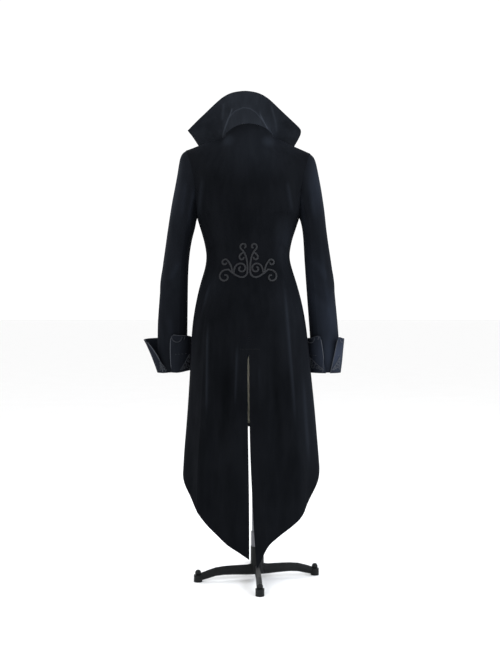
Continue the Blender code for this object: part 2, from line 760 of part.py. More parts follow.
def sleeve_point(side, angle, share):
    """Point of the sleeve: angle -90 inner side, 0 back, 90 outer side, 180 front."""
    table = SLEEVE[side]
    inner = Vector((table.read("in_x", share), 0, table.read("in_z", share)))
    outer = Vector((table.read("out_x", share), 0, table.read("out_z", share)))
    turn = math.radians(angle)
    point = (inner + outer) / 2 + (outer - inner) / 2 * math.sin(turn)
    point.y = table.read("middle", share) - table.read("depth", share) * math.cos(turn)
    inset = ARMHOLE_INSET * max(0.0, 1 - share / INSET_REACH) ** 2
    point.x -= inset * math.cos(turn) ** 2
    point.x *= SIGN[side]
    return point


def sleeve_normal(side, angle, share):
    """Unit vector straight out of the sleeve."""
    after = sleeve_point(side, angle + TURN_STEP, share)
    around = after - sleeve_point(side, angle - TURN_STEP, share)
    low = max(0.0, share - SHARE_STEP)
    high = min(1.0, share + SHARE_STEP)
    along = sleeve_point(side, angle, high) - sleeve_point(side, angle, low)
    normal = around.cross(along).normalized()
    here = sleeve_point(side, angle, share)
    opposite = sleeve_point(side, angle + 180, share)
    return normal if normal.dot(here - opposite) > 0 else -normal


def armhole_direction(side, angle):
    """Direction across the armhole's edge, with no part along X."""
    turn = math.radians(angle)
    half_height = (SHOULDER_Z[side] - ARMPIT_Z) / 2
    return Vector((0, -math.cos(turn) * half_height, math.sin(turn) * ARMHOLE_DEPTH)).normalized()


def sleeve_panel(side, name, first_angle, last_angle, group):
    """One piece of the two-piece sleeve, from the armhole to the wrist."""
    count = round((last_angle - first_angle) / ANGLE_STEP)
    angles = spread(first_angle, last_angle, count)
    outer = []
    inner = []
    for row in range(SLEEVE_ROWS_COUNT + 1):
        share = row / SLEEVE_ROWS_COUNT
        points = [sleeve_point(side, angle, share) for angle in angles]
        normals = [sleeve_normal(side, angle, share) for angle in angles]
        if row == 0:
            away = Vector((SIGN[side] * JOIN_GAP, 0, 0))
            points = [point + away for point in points]
            normals = [armhole_direction(side, angle) for angle in angles]
        behind = [point - normal * CLOTH for point, normal in zip(points, normals)]
        outer.append(pull_edges(points, SEAM_GAP, SEAM_GAP))
        inner.append(pull_edges(behind, SEAM_GAP, SEAM_GAP))
    return wall(f"{name}_{side}", outer, inner, VELVET, group)


def sleeve_share_at(side, z):
    """Share of the sleeve's length where its outer edge has a height."""
    low, high = 0.5, 1.0
    for _ in range(HALVINGS):
        middle = (low + high) / 2
        if SLEEVE[side].read("out_z", middle) > z:
            low = middle
        else:
            high = middle
    return (low + high) / 2


def cuff_point(side, angle, rise, lift):
    """Point of the cuff: its band stands off the sleeve and flares to its free edge."""
    z = mix(CUFF_LOW_Z, CUFF_TOP_Z, rise)
    share = sleeve_share_at(side, z)
    base = sleeve_point(side, angle, share)
    centre = (base + sleeve_point(side, angle + 180, share)) / 2
    turn = math.radians(angle)
    table = CUFF[side]
    side_flare = table.read("outer_flare" if math.sin(turn) > 0 else "inner_flare", rise)
    face_flare = table.read("face_flare", rise)
    flare = mix(face_flare, side_flare, math.sin(turn) ** 2)
    out = base - centre
    out.z = 0
    out.normalize()
    point = base + out * (CUFF_SLACK + lift + flare)
    point.z = z
    return point


def cuff_panel(side, group):
    """Turned-back cuff, open in a V at the back of the wrist."""
    outer = []
    inner = []
    for row in range(CUFF_ROWS_COUNT + 1):
        rise = row / CUFF_ROWS_COUNT
        first = CUFF[side].read("split_out", rise)
        last = CUFF[side].read("split_in", rise) + 360.0
        angles = spread(first, last, CUFF_COLUMNS_COUNT)
        outer.append([cuff_point(side, angle, rise, CUFF_CLOTH) for angle in angles])
        inner.append([cuff_point(side, angle, rise, 0.0) for angle in angles])
    return wall(f"cuff_{side}", outer, inner, VELVET_CUFF, group)


# Collar


def collar_neck(side, place):
    """Neck seam under the collar: place 0 centre back, 0.5 shoulder, 1 centre front."""
    part = "back" if place <= 0.5 else "front"
    share = place * 2 if place <= 0.5 else (1 - place) * 2
    spans = round(NECK_SHARE * BACK_COLUMNS)
    first = min(spans - 1, int(share * spans))
    start = neck_point(side, part, first / spans)
    end = neck_point(side, part, (first + 1) / spans)
    return start.lerp(end, share * spans - first)


def collar_line(side, place):
    """Crease and free edge of the collar at one place along the neck."""
    table = COLLAR_BACK if place <= COLLAR_TIP else COLLAR_FRONT
    sign = SIGN[side]
    crease = Vector([table.read(f"crease_{axis}", place) for axis in "xyz"])
    edge = Vector([table.read(f"edge_{axis}", place) for axis in "xyz"])
    lean = max(0.0, 1 - place**2)
    crease.x = crease.x * sign + CREASE_LEAN * lean
    edge.x = edge.x * sign + EDGE_LEAN * (1.0 if place <= COLLAR_TIP else lean)
    return crease, edge


def collar_profile(side, place):
    """Points of one section of the collar from the neck seam to the free edge."""
    base = collar_neck(side, place)
    base += Vector((-math.copysign(min(abs(base.x), JOIN_GAP), base.x), 0, 2 * JOIN_GAP))
    crease, edge = collar_line(side, place)
    reach = (edge - crease).length
    arch = Vector((0, 0, COLLAR_ARCH * reach * min(1.0, place * 2)))
    control = crease.lerp(edge, ARCH_PLACE) + arch
    points = [base.lerp(crease, row / COLLAR_STAND_ROWS) for row in range(COLLAR_STAND_ROWS)]
    for row in range(COLLAR_WING_ROWS + 1):
        t = row / COLLAR_WING_ROWS
        points.append(crease * (1 - t) ** 2 + control * 2 * t * (1 - t) + edge * t * t)
    return points


def collar_places():
    """Signed places along the collar, from one front end round to the other."""
    half = list(COLLAR_PLACES)
    return [-place for place in half[:0:-1]] + half


def collar_piece(group):
    """High collar: a stand round the neck whose wings fold out into two points."""
    columns = []
    for place in collar_places():
        side = "left" if place < 0 else "right"
        columns.append(collar_profile(side, abs(place)))
    rows = [list(row) for row in zip(*columns)]
    last_row = len(rows) - 1
    last_column = len(columns) - 1
    inner = []
    for i, row in enumerate(rows):
        behind = []
        for j, point in enumerate(row):
            across = rows[i][min(last_column, j + 1)] - rows[i][max(0, j - 1)]
            up = rows[min(last_row, i + 1)][j] - rows[max(0, i - 1)][j]
            normal = across.cross(up).normalized()
            if i == 0:
                normal.z = 0
                normal.normalize()
            behind.append(point - normal * COLLAR_CLOTH)
        inner.append(behind)
    return wall("collar", rows, inner, VELVET, group)


# Scroll braid


def spiral(curl):
    """Points that wind round a centre while the radius goes from the first to the last."""
    points = []
    for step in range(curl["spans"] + 1):
        share = step / curl["spans"]
        angle = math.radians(mix(curl["angle"], curl["last_angle"], share))
        reach = mix(curl["radius"], curl["last_radius"], share ** curl["ease"])
        points.append((curl["x"] + reach * math.cos(angle), curl["z"] + reach * math.sin(angle)))
    return points


def bend(stem, end):
    """Points of a stem's smooth bend up to the start of its curl."""
    points = []
    for step in range(stem["spans"] + 1):
        t = step / stem["spans"]
        x = stem["x"] * (1 - t) ** 2 + 2 * stem["bend_x"] * t * (1 - t) + end[0] * t * t
        z = stem["z"] * (1 - t) ** 2 + 2 * stem["bend_z"] * t * (1 - t) + end[1] * t * t
        points.append((x, z))
    return points


def scroll_lines():
    """The strands of one half of the motif, as x from the centre seam and z from its middle."""
    curls = {curl["name"]: spiral(curl) for curl in named(CURL_COLUMNS, CURL_ROWS)}
    led = {}
    for stem in named(STEM_COLUMNS, STEM_ROWS):
        line = curls[stem["name"]]
        led[stem["name"]] = bend(stem, line[0]) + line[1:]
    main_strand = led["crown"][::-1] + curls["bowl"][1:-1] + led["lower"]
    return main_strand, curls["volute"], led["leaf"], led["bud"]


def cell(values, at):
    """Index and share of the step of a rising list that holds a value."""
    index = max(i for i, value in enumerate(values[:-1]) if value <= at or i == 0)
    return index, (at - values[index]) / (values[index + 1] - values[index])


def panel_frame(side, x, z):
    """Point and outward direction on the flat facets of the back, below the armpit."""
    half = BODY.read(side, z)
    place = math.asin(max(-1.0, min(1.0, x / half))) * 2 / math.pi
    drop = (ARMPIT_Z - z) / (ARMPIT_Z - HEM.read(side, max(0.0, place)))
    column, across = cell(spread(0.0, PRINCESS, BACK_COLUMNS), max(0.0, place))
    row, down = cell(list(DROP_LEVELS), drop)
    points = []
    normals = []
    for near in (column, column + 1):
        for level in (DROP_LEVELS[row], DROP_LEVELS[row + 1]):
            spot = PRINCESS * near / BACK_COLUMNS
            points.append(body_point(side, "back", spot, -level))
            normals.append(body_normal(side, "back", spot, -level))
    sides = (points[0].lerp(points[1], down), points[2].lerp(points[3], down))
    turns = (normals[0].lerp(normals[1], down), normals[2].lerp(normals[3], down))
    return sides[0].lerp(sides[1], across), turns[0].lerp(turns[1], across).normalized()


def braid_point(side, x, z, lift):
    """Point over the back at x and z, lifted by a share of the braid's thickness."""
    point, normal = panel_frame(side, x, z)
    return point + normal * (BRAID_LIFT + BRAID_THICK * lift)


def strand_mesh(side, flat, z_middle):
    """Closed solid of one strand."""
    shape = bmesh.new()
    last = len(flat) - 1
    rings = []
    for i, (x, dz) in enumerate(flat):
        before = flat[max(0, i - 1)]
        after = flat[min(last, i + 1)]
        run = Vector((after[0] - before[0], after[1] - before[1])).normalized()
        cross = Vector((-run.y, run.x)) * (BRAID_WIDTH / 2)
        ring = []
        for share, lift in BRAID_SECTION:
            across_x = x + cross.x * share
            height = z_middle + dz + cross.y * share
            ring.append(shape.verts.new(braid_point(side, across_x, height, lift)))
        rings.append(ring)
    grid_faces(shape, rings, True)
    shape.faces.new(rings[0])
    shape.faces.new(rings[-1])
    bmesh.ops.recalc_face_normals(shape, faces=shape.faces)
    return shape


def union(target, tools):
    """Join the tools to the target as one body and remove them."""
    for tool in tools:
        joining = target.modifiers.new(tool.name, "BOOLEAN")
        joining.operation = "UNION"
        joining.solver = "EXACT"
        joining.object = tool
        graph = bpy.context.evaluated_depsgraph_get()
        joined = bpy.data.meshes.new_from_object(target.evaluated_get(graph))
        target.modifiers.remove(joining)
        target.data = joined
        bpy.data.objects.remove(tool)
    return target


def scroll_piece(side, group, cutters):
    """Half of the scroll braid, its strands joined where they cross."""
    strands = []
    for number, flat in enumerate(scroll_lines()):
        shape = strand_mesh(side, flat, SCROLL_MIDDLE_Z)
        home = group if number == 0 else cutters
        name = f"scroll_{side}" if number == 0 else f"strand_{side}_{number}"
        strands.append(finish_mesh(name, shape, BRAID, home))
    for guide in strands[1:]:
        guide.hide_render = True
        guide.display_type = "WIRE"
    return union(strands[0], strands[1:])


# Buttons


def turned(name, profile, steps, look, group):
    """Turn a profile of radius and height pairs, top to bottom, round the Z axis."""
    shape = bmesh.new()
    corners = [shape.verts.new((radius, 0, height)) for radius, height in profile]
    for first, second in zip(corners, corners[1:]):
        shape.edges.new((first, second))
    data = bpy.data.meshes.new(name)
    shape.to_mesh(data)
    shape.free()
    item = new_object(name, data, look, group)
    screw = item.modifiers.new("turn", "SCREW")
    screw.steps = steps
    screw.render_steps = steps
    screw.use_merge_vertices = True
    screw.merge_threshold = 0.00001
    data.shade_smooth()
    return item


def button_piece(number, z, group):
    """A low domed button on the right front."""
    profile = [(BUTTON_RADIUS * wide, BUTTON_HEIGHT * high) for wide, high in BUTTON_OUTLINE]
    item = turned(f"button_{number}", profile, BUTTON_SPANS, BUTTON, group)
    half = BODY.read("right", min(z, ARMPIT_Z))
    place = math.asin(BUTTON_X / half) * 2 / math.pi
    if z <= ARMPIT_Z:
        level = (z - ARMPIT_Z) / (ARMPIT_Z - HEM.read("right", 2 - place))
    else:
        level = (z - ARMPIT_Z) / (NECKLINE_Z - ARMPIT_Z)
    normal = body_normal("right", "front", place, level)
    seat = body_point("right", "front", place, level) + normal * BUTTON_LIFT
    item.location = seat
    item.rotation_euler = normal.to_track_quat("Z", "Y").to_euler()
    return item


# Dress form and stand


def seam_reach(side, z):
    """How far out the form may reach at a height, just under the shoulder seam."""
    slope = math.atan2(NECK_Z - SHOULDER_Z[side], SHOULDER_X[side] - NECK_X)
    drop = (CLOTH + FORM_CLEARANCE) / math.cos(slope)
    share = (NECK_Z - drop - z) / (NECK_Z - SHOULDER_Z[side])
    return mix(NECK_X, SHOULDER_X[side], share)


def form_section(z):
    """Points round the form at a height, from the centre back."""
    left = min(FORM.read("left", z), seam_reach("left", z))
    right = min(FORM.read("right", z), seam_reach("right", z))
    shoulder = max(0.0, min(1.0, (z - SHOULDER_Z["right"]) / (NECK_Z - SHOULDER_Z["right"])))
    middle = (0.0, NECK_Y * shoulder)
    depths = (FORM.read("back", z), FORM.read("front", z))
    return section_points((left, right), depths, FORM.read("bow", z), middle, z)


def section_points(halves, depths, bow, middle, z):
    """Points round a section with its own half widths and depths."""
    points = []
    for step in range(FORM_COLUMNS_COUNT):
        turn = 2 * math.pi * step / FORM_COLUMNS_COUNT
        across = math.sin(turn)
        forward = -math.cos(turn)
        half = halves[1] if across > 0 else halves[0]
        depth = depths[0] if forward < 0 else depths[1]
        x = half * math.copysign(abs(across) ** FORM_ROUND, across)
        y = depth * math.copysign(abs(forward) ** bow, forward)
        points.append(Vector((x + middle[0], y + middle[1], z)))
    return points


def ring_solid(name, rings, look, group):
    """Closed solid through a stack of rings."""
    shape = bmesh.new()
    grid = [[shape.verts.new(point) for point in ring] for ring in rings]
    grid_faces(shape, grid, True)
    shape.faces.new(grid[0])
    shape.faces.new(grid[-1])
    return finish_mesh(name, shape, look, group, SOLID_SHARP)


def dress_form(group):
    """Smooth limbless torso with a short neck."""
    rings = [form_section(z) for z in FORM_RING_HEIGHTS]
    neck = (FORM_NECK_RADIUS, FORM_NECK_RADIUS)
    for z in FORM_NECK_HEIGHTS:
        rings.append(section_points(neck, neck, 1.0, (0, NECK_Y / 2), z))
    return ring_solid("dress_form", rings, LINEN, group)


def cylinder(name, radius, ends, centre, steps, look, group):
    """Upright cylinder between two heights."""
    shape = bmesh.new()
    low, high = ends
    depth = high - low
    bmesh.ops.create_cone(
        shape,
        cap_ends=True,
        segments=steps,
        radius1=radius,
        radius2=radius,
        depth=depth,
    )
    bmesh.ops.translate(shape, verts=shape.verts, vec=(centre[0], centre[1], low + depth / 2))
    return finish_mesh(name, shape, look, group)


def neck_cap(group):
    """Turned cap that closes the form's neck."""
    profile = [(CAP_RADIUS * wide, CAP_HEIGHT * high) for wide, high in CAP_OUTLINE]
    item = turned("neck_cap", profile, CAP_SPANS, DARK_TRIM, group)
    item.location = (0, NECK_Y / 2, FORM_NECK_HEIGHTS[-1] + JOIN_GAP)
    return item


def form_base(group):
    """Dark plate that closes the form from below."""
    z = FORM_RING_HEIGHTS[0]
    rings = []
    for drop, trim in zip((JOIN_GAP, JOIN_GAP + FORM_BASE_THICK), FORM_BASE_TRIMS):
        halves = (FORM.read("left", z) - trim, FORM.read("right", z) - trim)
        depths = (FORM.read("back", z) - trim, FORM.read("front", z) - trim)
        rings.append(section_points(halves, depths, FORM.read("bow", z), (0, 0), z - drop))
    return ring_solid("form_base", rings, DARK_TRIM, group)


def leg_mesh(heading):
    """One arched leg from the hub to its foot."""
    shape = bmesh.new()
    direction = Vector((math.cos(heading), math.sin(heading), 0))
    across = Vector((-math.sin(heading), math.cos(heading), 0))
    rings = []
    for step in range(LEG_SPANS + 1):
        share = mix(LEG_ROWS[0][0], LEG_ROWS[-1][0], step / LEG_SPANS)
        centre = direction * (LEG_REACH * share) + Vector((POLE_X, 0, LEG.read("middle", share)))
        half_width = LEG.read("half_width", share)
        half_height = LEG.read("half_height", share)
        ring = []
        for corner in range(LEG_SIDES):
            turn = 2 * math.pi * corner / LEG_SIDES
            offset = across * (half_width * math.cos(turn))
            offset += Vector((0, 0, half_height * math.sin(turn)))
            ring.append(shape.verts.new(centre + offset))
        rings.append(ring)
    grid_faces(shape, rings, True)
    shape.faces.new(rings[0])
    shape.faces.new(rings[-1])
    return shape


def stand_base(group, cutters):
    """Cast base: a hub with four arched legs, each with a foot and a ball on it."""
    hub_spot = (POLE_X, 0)
    hub_ends = (HUB_LOW_Z, HUB_TOP_Z)
    hub = cylinder("stand_base", HUB_RADIUS, hub_ends, hub_spot, HUB_SPANS, CAST_IRON, group)
    parts = []
    for number, turn in enumerate(LEG_TURNS):
        heading = math.radians(turn)
        foot_x = POLE_X + LEG_REACH * math.cos(heading)
        foot_y = LEG_REACH * math.sin(heading)
        leg = finish_mesh(f"leg_{number}", leg_mesh(heading), CAST_IRON, cutters)
        spot = (foot_x, foot_y)
        ends = (0.0, FOOT_HEIGHT)
        foot = cylinder(f"foot_{number}", FOOT_RADIUS, ends, spot, FOOT_SPANS, CAST_IRON, cutters)
        ball = bmesh.new()
        around, up = BALL_SPANS
        bmesh.ops.create_uvsphere(ball, u_segments=around, v_segments=up, radius=KNOB_RADIUS)
        bmesh.ops.translate(ball, verts=ball.verts, vec=(foot_x, foot_y, FOOT_HEIGHT + KNOB_LIFT))
        knob = finish_mesh(f"knob_{number}", ball, CAST_IRON, cutters)
        parts += [leg, foot, knob]
    for part in parts:
        part.hide_render = True
        part.display_type = "WIRE"
    return union(hub, parts)


# The whole part


def clear_scene():
    """Start from an empty scene."""
    for item in list(bpy.data.objects):
        bpy.data.objects.remove(item)


def collection(name):
    """Make a collection in the scene."""
    group = bpy.data.collections.new(name)
    bpy.context.scene.collection.children.link(group)
    return group


def centre_on_floor(group):
    """Set the origin at the middle of the box that holds the part, on the floor."""
    bpy.context.view_layer.update()
    graph = bpy.context.evaluated_depsgraph_get()
    points = []
    for item in group.objects:
        shown = item.evaluated_get(graph)
        points += [shown.matrix_world @ vertex.co for vertex in shown.data.vertices]
    low = [min(point[axis] for point in points) for axis in range(3)]
    high = [max(point[axis] for point in points) for axis in range(3)]
    shift = Vector(((low[0] + high[0]) / 2, (low[1] + high[1]) / 2, low[2]))
    for item in group.objects:
        item.location = item.location - shift


def main():
    clear_scene()
    group = collection("velvet_tailcoat")
    cutters = collection("cutters")
    for side in SIDES:
        back_panel(side, group)
        side_body_panel(side, group)
        front_panel(side, group)
        sleeve_panel(side, "sleeve_upper", HIND_SEAM, FORE_SEAM, group)
        sleeve_panel(side, "sleeve_under", FORE_SEAM, HIND_SEAM + 360, group)
        cuff_panel(side, group)
        scroll_piece(side, group, cutters)
    collar_piece(group)
    for number, z in enumerate(BUTTON_HEIGHTS, start=1):
        button_piece(number, z, group)
    dress_form(group)
    neck_cap(group)
    form_base(group)
    pole_top = FORM_RING_HEIGHTS[0] - FORM_BASE_THICK - 2 * JOIN_GAP
    pole_ends = (FERRULE_TOP_Z + JOIN_GAP, pole_top)
    cylinder("pole", POLE_RADIUS, pole_ends, (POLE_X, 0), POLE_SPANS, STEEL, group)
    ferrule_ends = (FERRULE_LOW_Z, FERRULE_TOP_Z)
    cylinder("ferrule", FERRULE_RADIUS, ferrule_ends, (POLE_X, 0), POLE_SPANS, STEEL, group)
    stand_base(group, cutters)
    centre_on_floor(group)


if __name__ == "__main__":
    main()
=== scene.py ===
"""A fitted black velvet tailcoat with a high wing collar, standing on a limbless dress form.

The back faces -Y, +X is to the right of someone who looks at the back, +Z is up, in metres.
"""

from __future__ import annotations

import logging
import math
from collections.abc import Iterator
from contextlib import contextmanager
from dataclasses import dataclass, field
from enum import Enum

import bmesh
import bpy
import numpy as np
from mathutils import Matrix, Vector, noise
from mathutils.bvhtree import BVHTree


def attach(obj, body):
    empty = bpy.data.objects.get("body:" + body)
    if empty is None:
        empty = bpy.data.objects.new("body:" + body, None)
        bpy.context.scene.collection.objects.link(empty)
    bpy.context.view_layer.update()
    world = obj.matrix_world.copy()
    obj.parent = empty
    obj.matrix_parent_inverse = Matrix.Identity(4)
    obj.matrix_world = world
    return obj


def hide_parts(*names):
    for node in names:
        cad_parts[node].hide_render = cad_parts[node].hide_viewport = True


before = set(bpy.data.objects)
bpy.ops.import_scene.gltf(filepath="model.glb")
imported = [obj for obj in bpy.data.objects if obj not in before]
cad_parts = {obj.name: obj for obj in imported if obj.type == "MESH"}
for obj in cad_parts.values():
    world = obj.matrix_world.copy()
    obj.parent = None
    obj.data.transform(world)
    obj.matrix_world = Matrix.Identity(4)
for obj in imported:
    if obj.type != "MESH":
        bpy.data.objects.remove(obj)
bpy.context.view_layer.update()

LOG = logging.getLogger("tailcoat")
SIDES = ("left", "right")

# The coat's centre seam, also as a shift of x and z; how far rims reach into a seam and into an
# armhole; the height where armholes start, and how much their rims look to the side
CENTRE_X = 0.0122
SEAM = np.array([CENTRE_X, 0.0])
SEAM_REACH = 0.0004
ARMHOLE_REACH = 0.0012
ARMHOLE_Z = 1.06
ARMHOLE_TURN = 0.6

# Degrees over which an edge is a wall's rim, a rim of the collar or the form, or a short edge
# across a rim, and over which shading stays sharp on cloth and on cord
RIM_ANGLE = 55.0
STIFF_ANGLE = 60.0
CORNER_ANGLE = 25.0
SHADE_ANGLE = 50.0
CORD_ANGLE = 60.0

# Most thicknesses that a rim's face is wide, and that an edge across a rim is long
RIM_WIDTH = 1.5
RIM_STEP = 1.3

# Metres within which points merge, and radians up to which two triangles make a quad
MERGE_REACH = 0.00002
QUAD_ANGLE = 1.2
QUAD_SKEW = 1.4

# Shares of a fold's length over which it rises and dies away, and how it fades round the side
FOLD_RISE = (-0.02, 0.28)
FOLD_FALL = (0.66, 1.02)
FOLD_TURN = (0.05, 0.45)

# Two and three numbers, no stretch, and the attribute that keeps how the folds lie, for painted
# highlights on their crests and painted shade in their troughs
Pair = tuple[float, float]
Triple = tuple[float, float, float]
EVEN = (1.0, 1.0, 1.0)
FOLD_LIGHT = "ridge"


class Facing(Enum):
    """The side of a piece that a fold lies on."""

    BACK = (0.0, -1.0)
    FRONT = (0.0, 1.0)
    LEFT = (-1.0, 0.0)
    RIGHT = (1.0, 0.0)


class Split(Enum):
    """What a subdivision does to the shape."""

    SMOOTH = "CATMULL_CLARK"
    FLAT = "SIMPLE"


class Bands(Enum):
    """The direction in which the bands of a texture follow each other."""

    ACROSS = "X"
    UP = "Z"
    SLANTED = "DIAGONAL"


@dataclass(frozen=True)
class Pile:
    """Colours of a pile from its darkest tone and painted shade, through its mid tone, to a
    painted highlight, and the weight of its sheen.
    """

    deep_shaded: Triple
    brushed: Triple
    lit: Triple
    sheen: float


class PileLight(Enum):
    """Pile colours of each part of the coat, painted lighter on the collar, sleeves and cuffs as
    painted sheen.
    """

    BODY = Pile((0.0012, 0.0015, 0.0019), (0.0062, 0.007, 0.009), (0.01, 0.012, 0.016), 0.008)
    COLLAR = Pile((0.0026, 0.003, 0.0038), (0.0215, 0.025, 0.032), (0.029, 0.0335, 0.042), 0.014)
    SLEEVE = Pile((0.003, 0.0035, 0.0046), (0.0084, 0.0098, 0.013), (0.015, 0.019, 0.0285), 0.014)
    CUFF = Pile((0.005, 0.0058, 0.0078), (0.014, 0.0165, 0.0225), (0.03, 0.037, 0.056), 0.014)


# Shader helpers


class Value:
    """A value in a shader that takes the usual arithmetic."""

    def __init__(self, shader: "Shader", socket: bpy.types.NodeSocket) -> None:
        """Keep the socket and the shader that it belongs to."""
        self.shader = shader
        self.socket = socket

    def _maths(self, operation: str, first: object, second: object) -> "Value":
        """Add one Math node on two values or numbers."""
        return self.shader.add("ShaderNodeMath", {"operation": operation}, {0: first, 1: second})

    def __add__(self, other: object) -> "Value":
        """Return self + other."""
        return self._maths("ADD", self, other)

    def __radd__(self, other: object) -> "Value":
        """Return other + self."""
        return self._maths("ADD", other, self)

    def __sub__(self, other: object) -> "Value":
        """Return self - other."""
        return self._maths("SUBTRACT", self, other)

    def __rsub__(self, other: object) -> "Value":
        """Return other - self."""
        return self._maths("SUBTRACT", other, self)

    def __mul__(self, other: object) -> "Value":
        """Return self * other."""
        return self._maths("MULTIPLY", self, other)

    def __rmul__(self, other: object) -> "Value":
        """Return other * self."""
        return self._maths("MULTIPLY", other, self)


class Shader:
    """The node tree of one finish."""

    def __init__(self, name: str) -> None:
        """Make an empty material with a principled surface.

        Args:
            name: Name of the material.
        """
        self.material = bpy.data.materials.new(name)
        self.material.use_nodes = True
        self.tree = self.material.node_tree
        self.surface = self.tree.nodes["Principled BSDF"]

    def add(self, kind: str, settings: dict, inputs: dict, output: object = 0) -> Value:
        """Add one node.

        Args:
            kind: The node's type.
            settings: Attributes to set first; "stops" holds the stops of a ramp.
            inputs: Values or links of its sockets, by name or number.
            output: The output socket to return, by name or number.

        Returns:
            The chosen output as a Value.
        """
        node = self.tree.nodes.new(kind)
        for key, setting in settings.items():
            if key == "stops":
                self._ramp(node, setting)
            else:
                setattr(node, key, setting)
        for key, item in inputs.items():
            if isinstance(item, Value):
                self.tree.links.new(item.socket, node.inputs[key])
            else:
                node.inputs[key].default_value = item
        return Value(self, node.outputs[output])

    @staticmethod
    def _ramp(node: bpy.types.Node, stops: tuple) -> None:
        """Set the stops of a colour ramp.

        Args:
            node: The ramp's node.
            stops: Rows of place and grey level.
        """
        ramp = node.color_ramp
        ramp.interpolation = "EASE"
        while len(ramp.elements) < len(stops):
            ramp.elements.new(1.0)
        for element, (place, level) in zip(ramp.elements, stops):
            element.position = place
            element.color = (level, level, level, 1.0)

    def coordinates(self, scale: Triple, shift: Triple = (0.0, 0.0, 0.0)) -> Value:
        """Read the object's coordinates, scaled and then shifted.

        Args:
            scale: Factor along each axis.
            shift: What is added after that.

        Returns:
            The coordinates.
        """
        place = self.add("ShaderNodeTexCoord", {}, {}, "Object")
        inputs = {"Vector": place, "Location": shift, "Scale": scale}
        return self.add("ShaderNodeMapping", {}, inputs)

    def noise(self, scale: float, detail: float, stretch: Triple = EVEN) -> Value:
        """Soft noise over the surface.

        Args:
            scale: Waves for each metre.
            detail: Octaves of finer noise.
            stretch: Factor along each axis.

        Returns:
            The noise, from 0 to 1.
        """
        place = self.coordinates(stretch)
        inputs = {"Vector": place, "Scale": scale, "Detail": detail, "Roughness": 0.55}
        return self.add("ShaderNodeTexNoise", {}, inputs, "Fac")

    def bands(self, direction: Bands, scale: float, distortion: float) -> Value:
        """Lay soft bands over the surface.

        Args:
            direction: The direction in which they follow.
            scale: Its scale.
            distortion: How uneven the bands are.

        Returns:
            The bands, from 0 to 1.
        """
        settings = {"wave_type": "BANDS", "bands_direction": direction.value}
        inputs = {"Vector": self.coordinates(EVEN), "Scale": scale, "Distortion": distortion}
        return self.add("ShaderNodeTexWave", settings, inputs, "Fac")

    def ramp(self, value: Value, stops: tuple) -> Value:
        """Read a value through a ramp of grey levels."""
        return self.add("ShaderNodeValToRGB", {"stops": stops}, {"Fac": value}, "Color")

    def patch(self, light_patch: "LightPatch") -> Value:
        """Read how near a point is to the middle of a soft patch.

        Args:
            light_patch: The patch.

        Returns:
            The patch's level at its middle, going to 0 at its reach.
        """
        scale = tuple(1.0 / reach for reach in light_patch.reach)
        shift = tuple(-place / reach for place, reach in zip(light_patch.place, light_patch.reach))
        near = self.coordinates(scale, shift)
        length = self.add("ShaderNodeVectorMath", {"operation": "LENGTH"}, {0: near}, "Value")
        return self.ramp(length, ((0.0, light_patch.level), (1.0, 0.0)))

    def blend(self, share: Value, first: object, second: object) -> Value:
        """Blend two colours by a share.

        Args:
            share: 0 for the first colour, 1 for the second.
            first: Colour at 0, three numbers or a Value.
            second: Colour at 1, three numbers or a Value.

        Returns:
            The blended colour.
        """
        settings = {"data_type": "RGBA", "clamp_factor": True}
        ends = [item if isinstance(item, Value) else (*item, 1.0) for item in (first, second)]
        return self.add("ShaderNodeMix", settings, {0: share, 6: ends[0], 7: ends[1]}, 2)

    def feed(self, socket: str, value: Value) -> None:
        """Link a value to the surface."""
        self.tree.links.new(value.socket, self.surface.inputs[socket])

    def bump(self, height: Value, distance: float, strength: float) -> None:
        """Raise the surface by a height.

        Args:
            height: The relief, from 0 to 1.
            distance: Real depth in metres of a step from 0 to 1.
            strength: Share of it that shows.
        """
        inputs = {"Height": height, "Distance": distance, "Strength": strength}
        self.feed("Normal", self.add("ShaderNodeBump", {}, inputs, "Normal"))

    def constants(self, **values: object) -> None:
        """Set sockets of the surface that are the same all over."""
        for name, value in values.items():
            self.surface.inputs[name.replace("_", " ")].default_value = value


# Finishes


@dataclass(frozen=True)
class LightPatch:
    """A soft patch of painted highlight on the pile, or of painted shade below 0."""

    place: Triple
    reach: Triple
    level: float
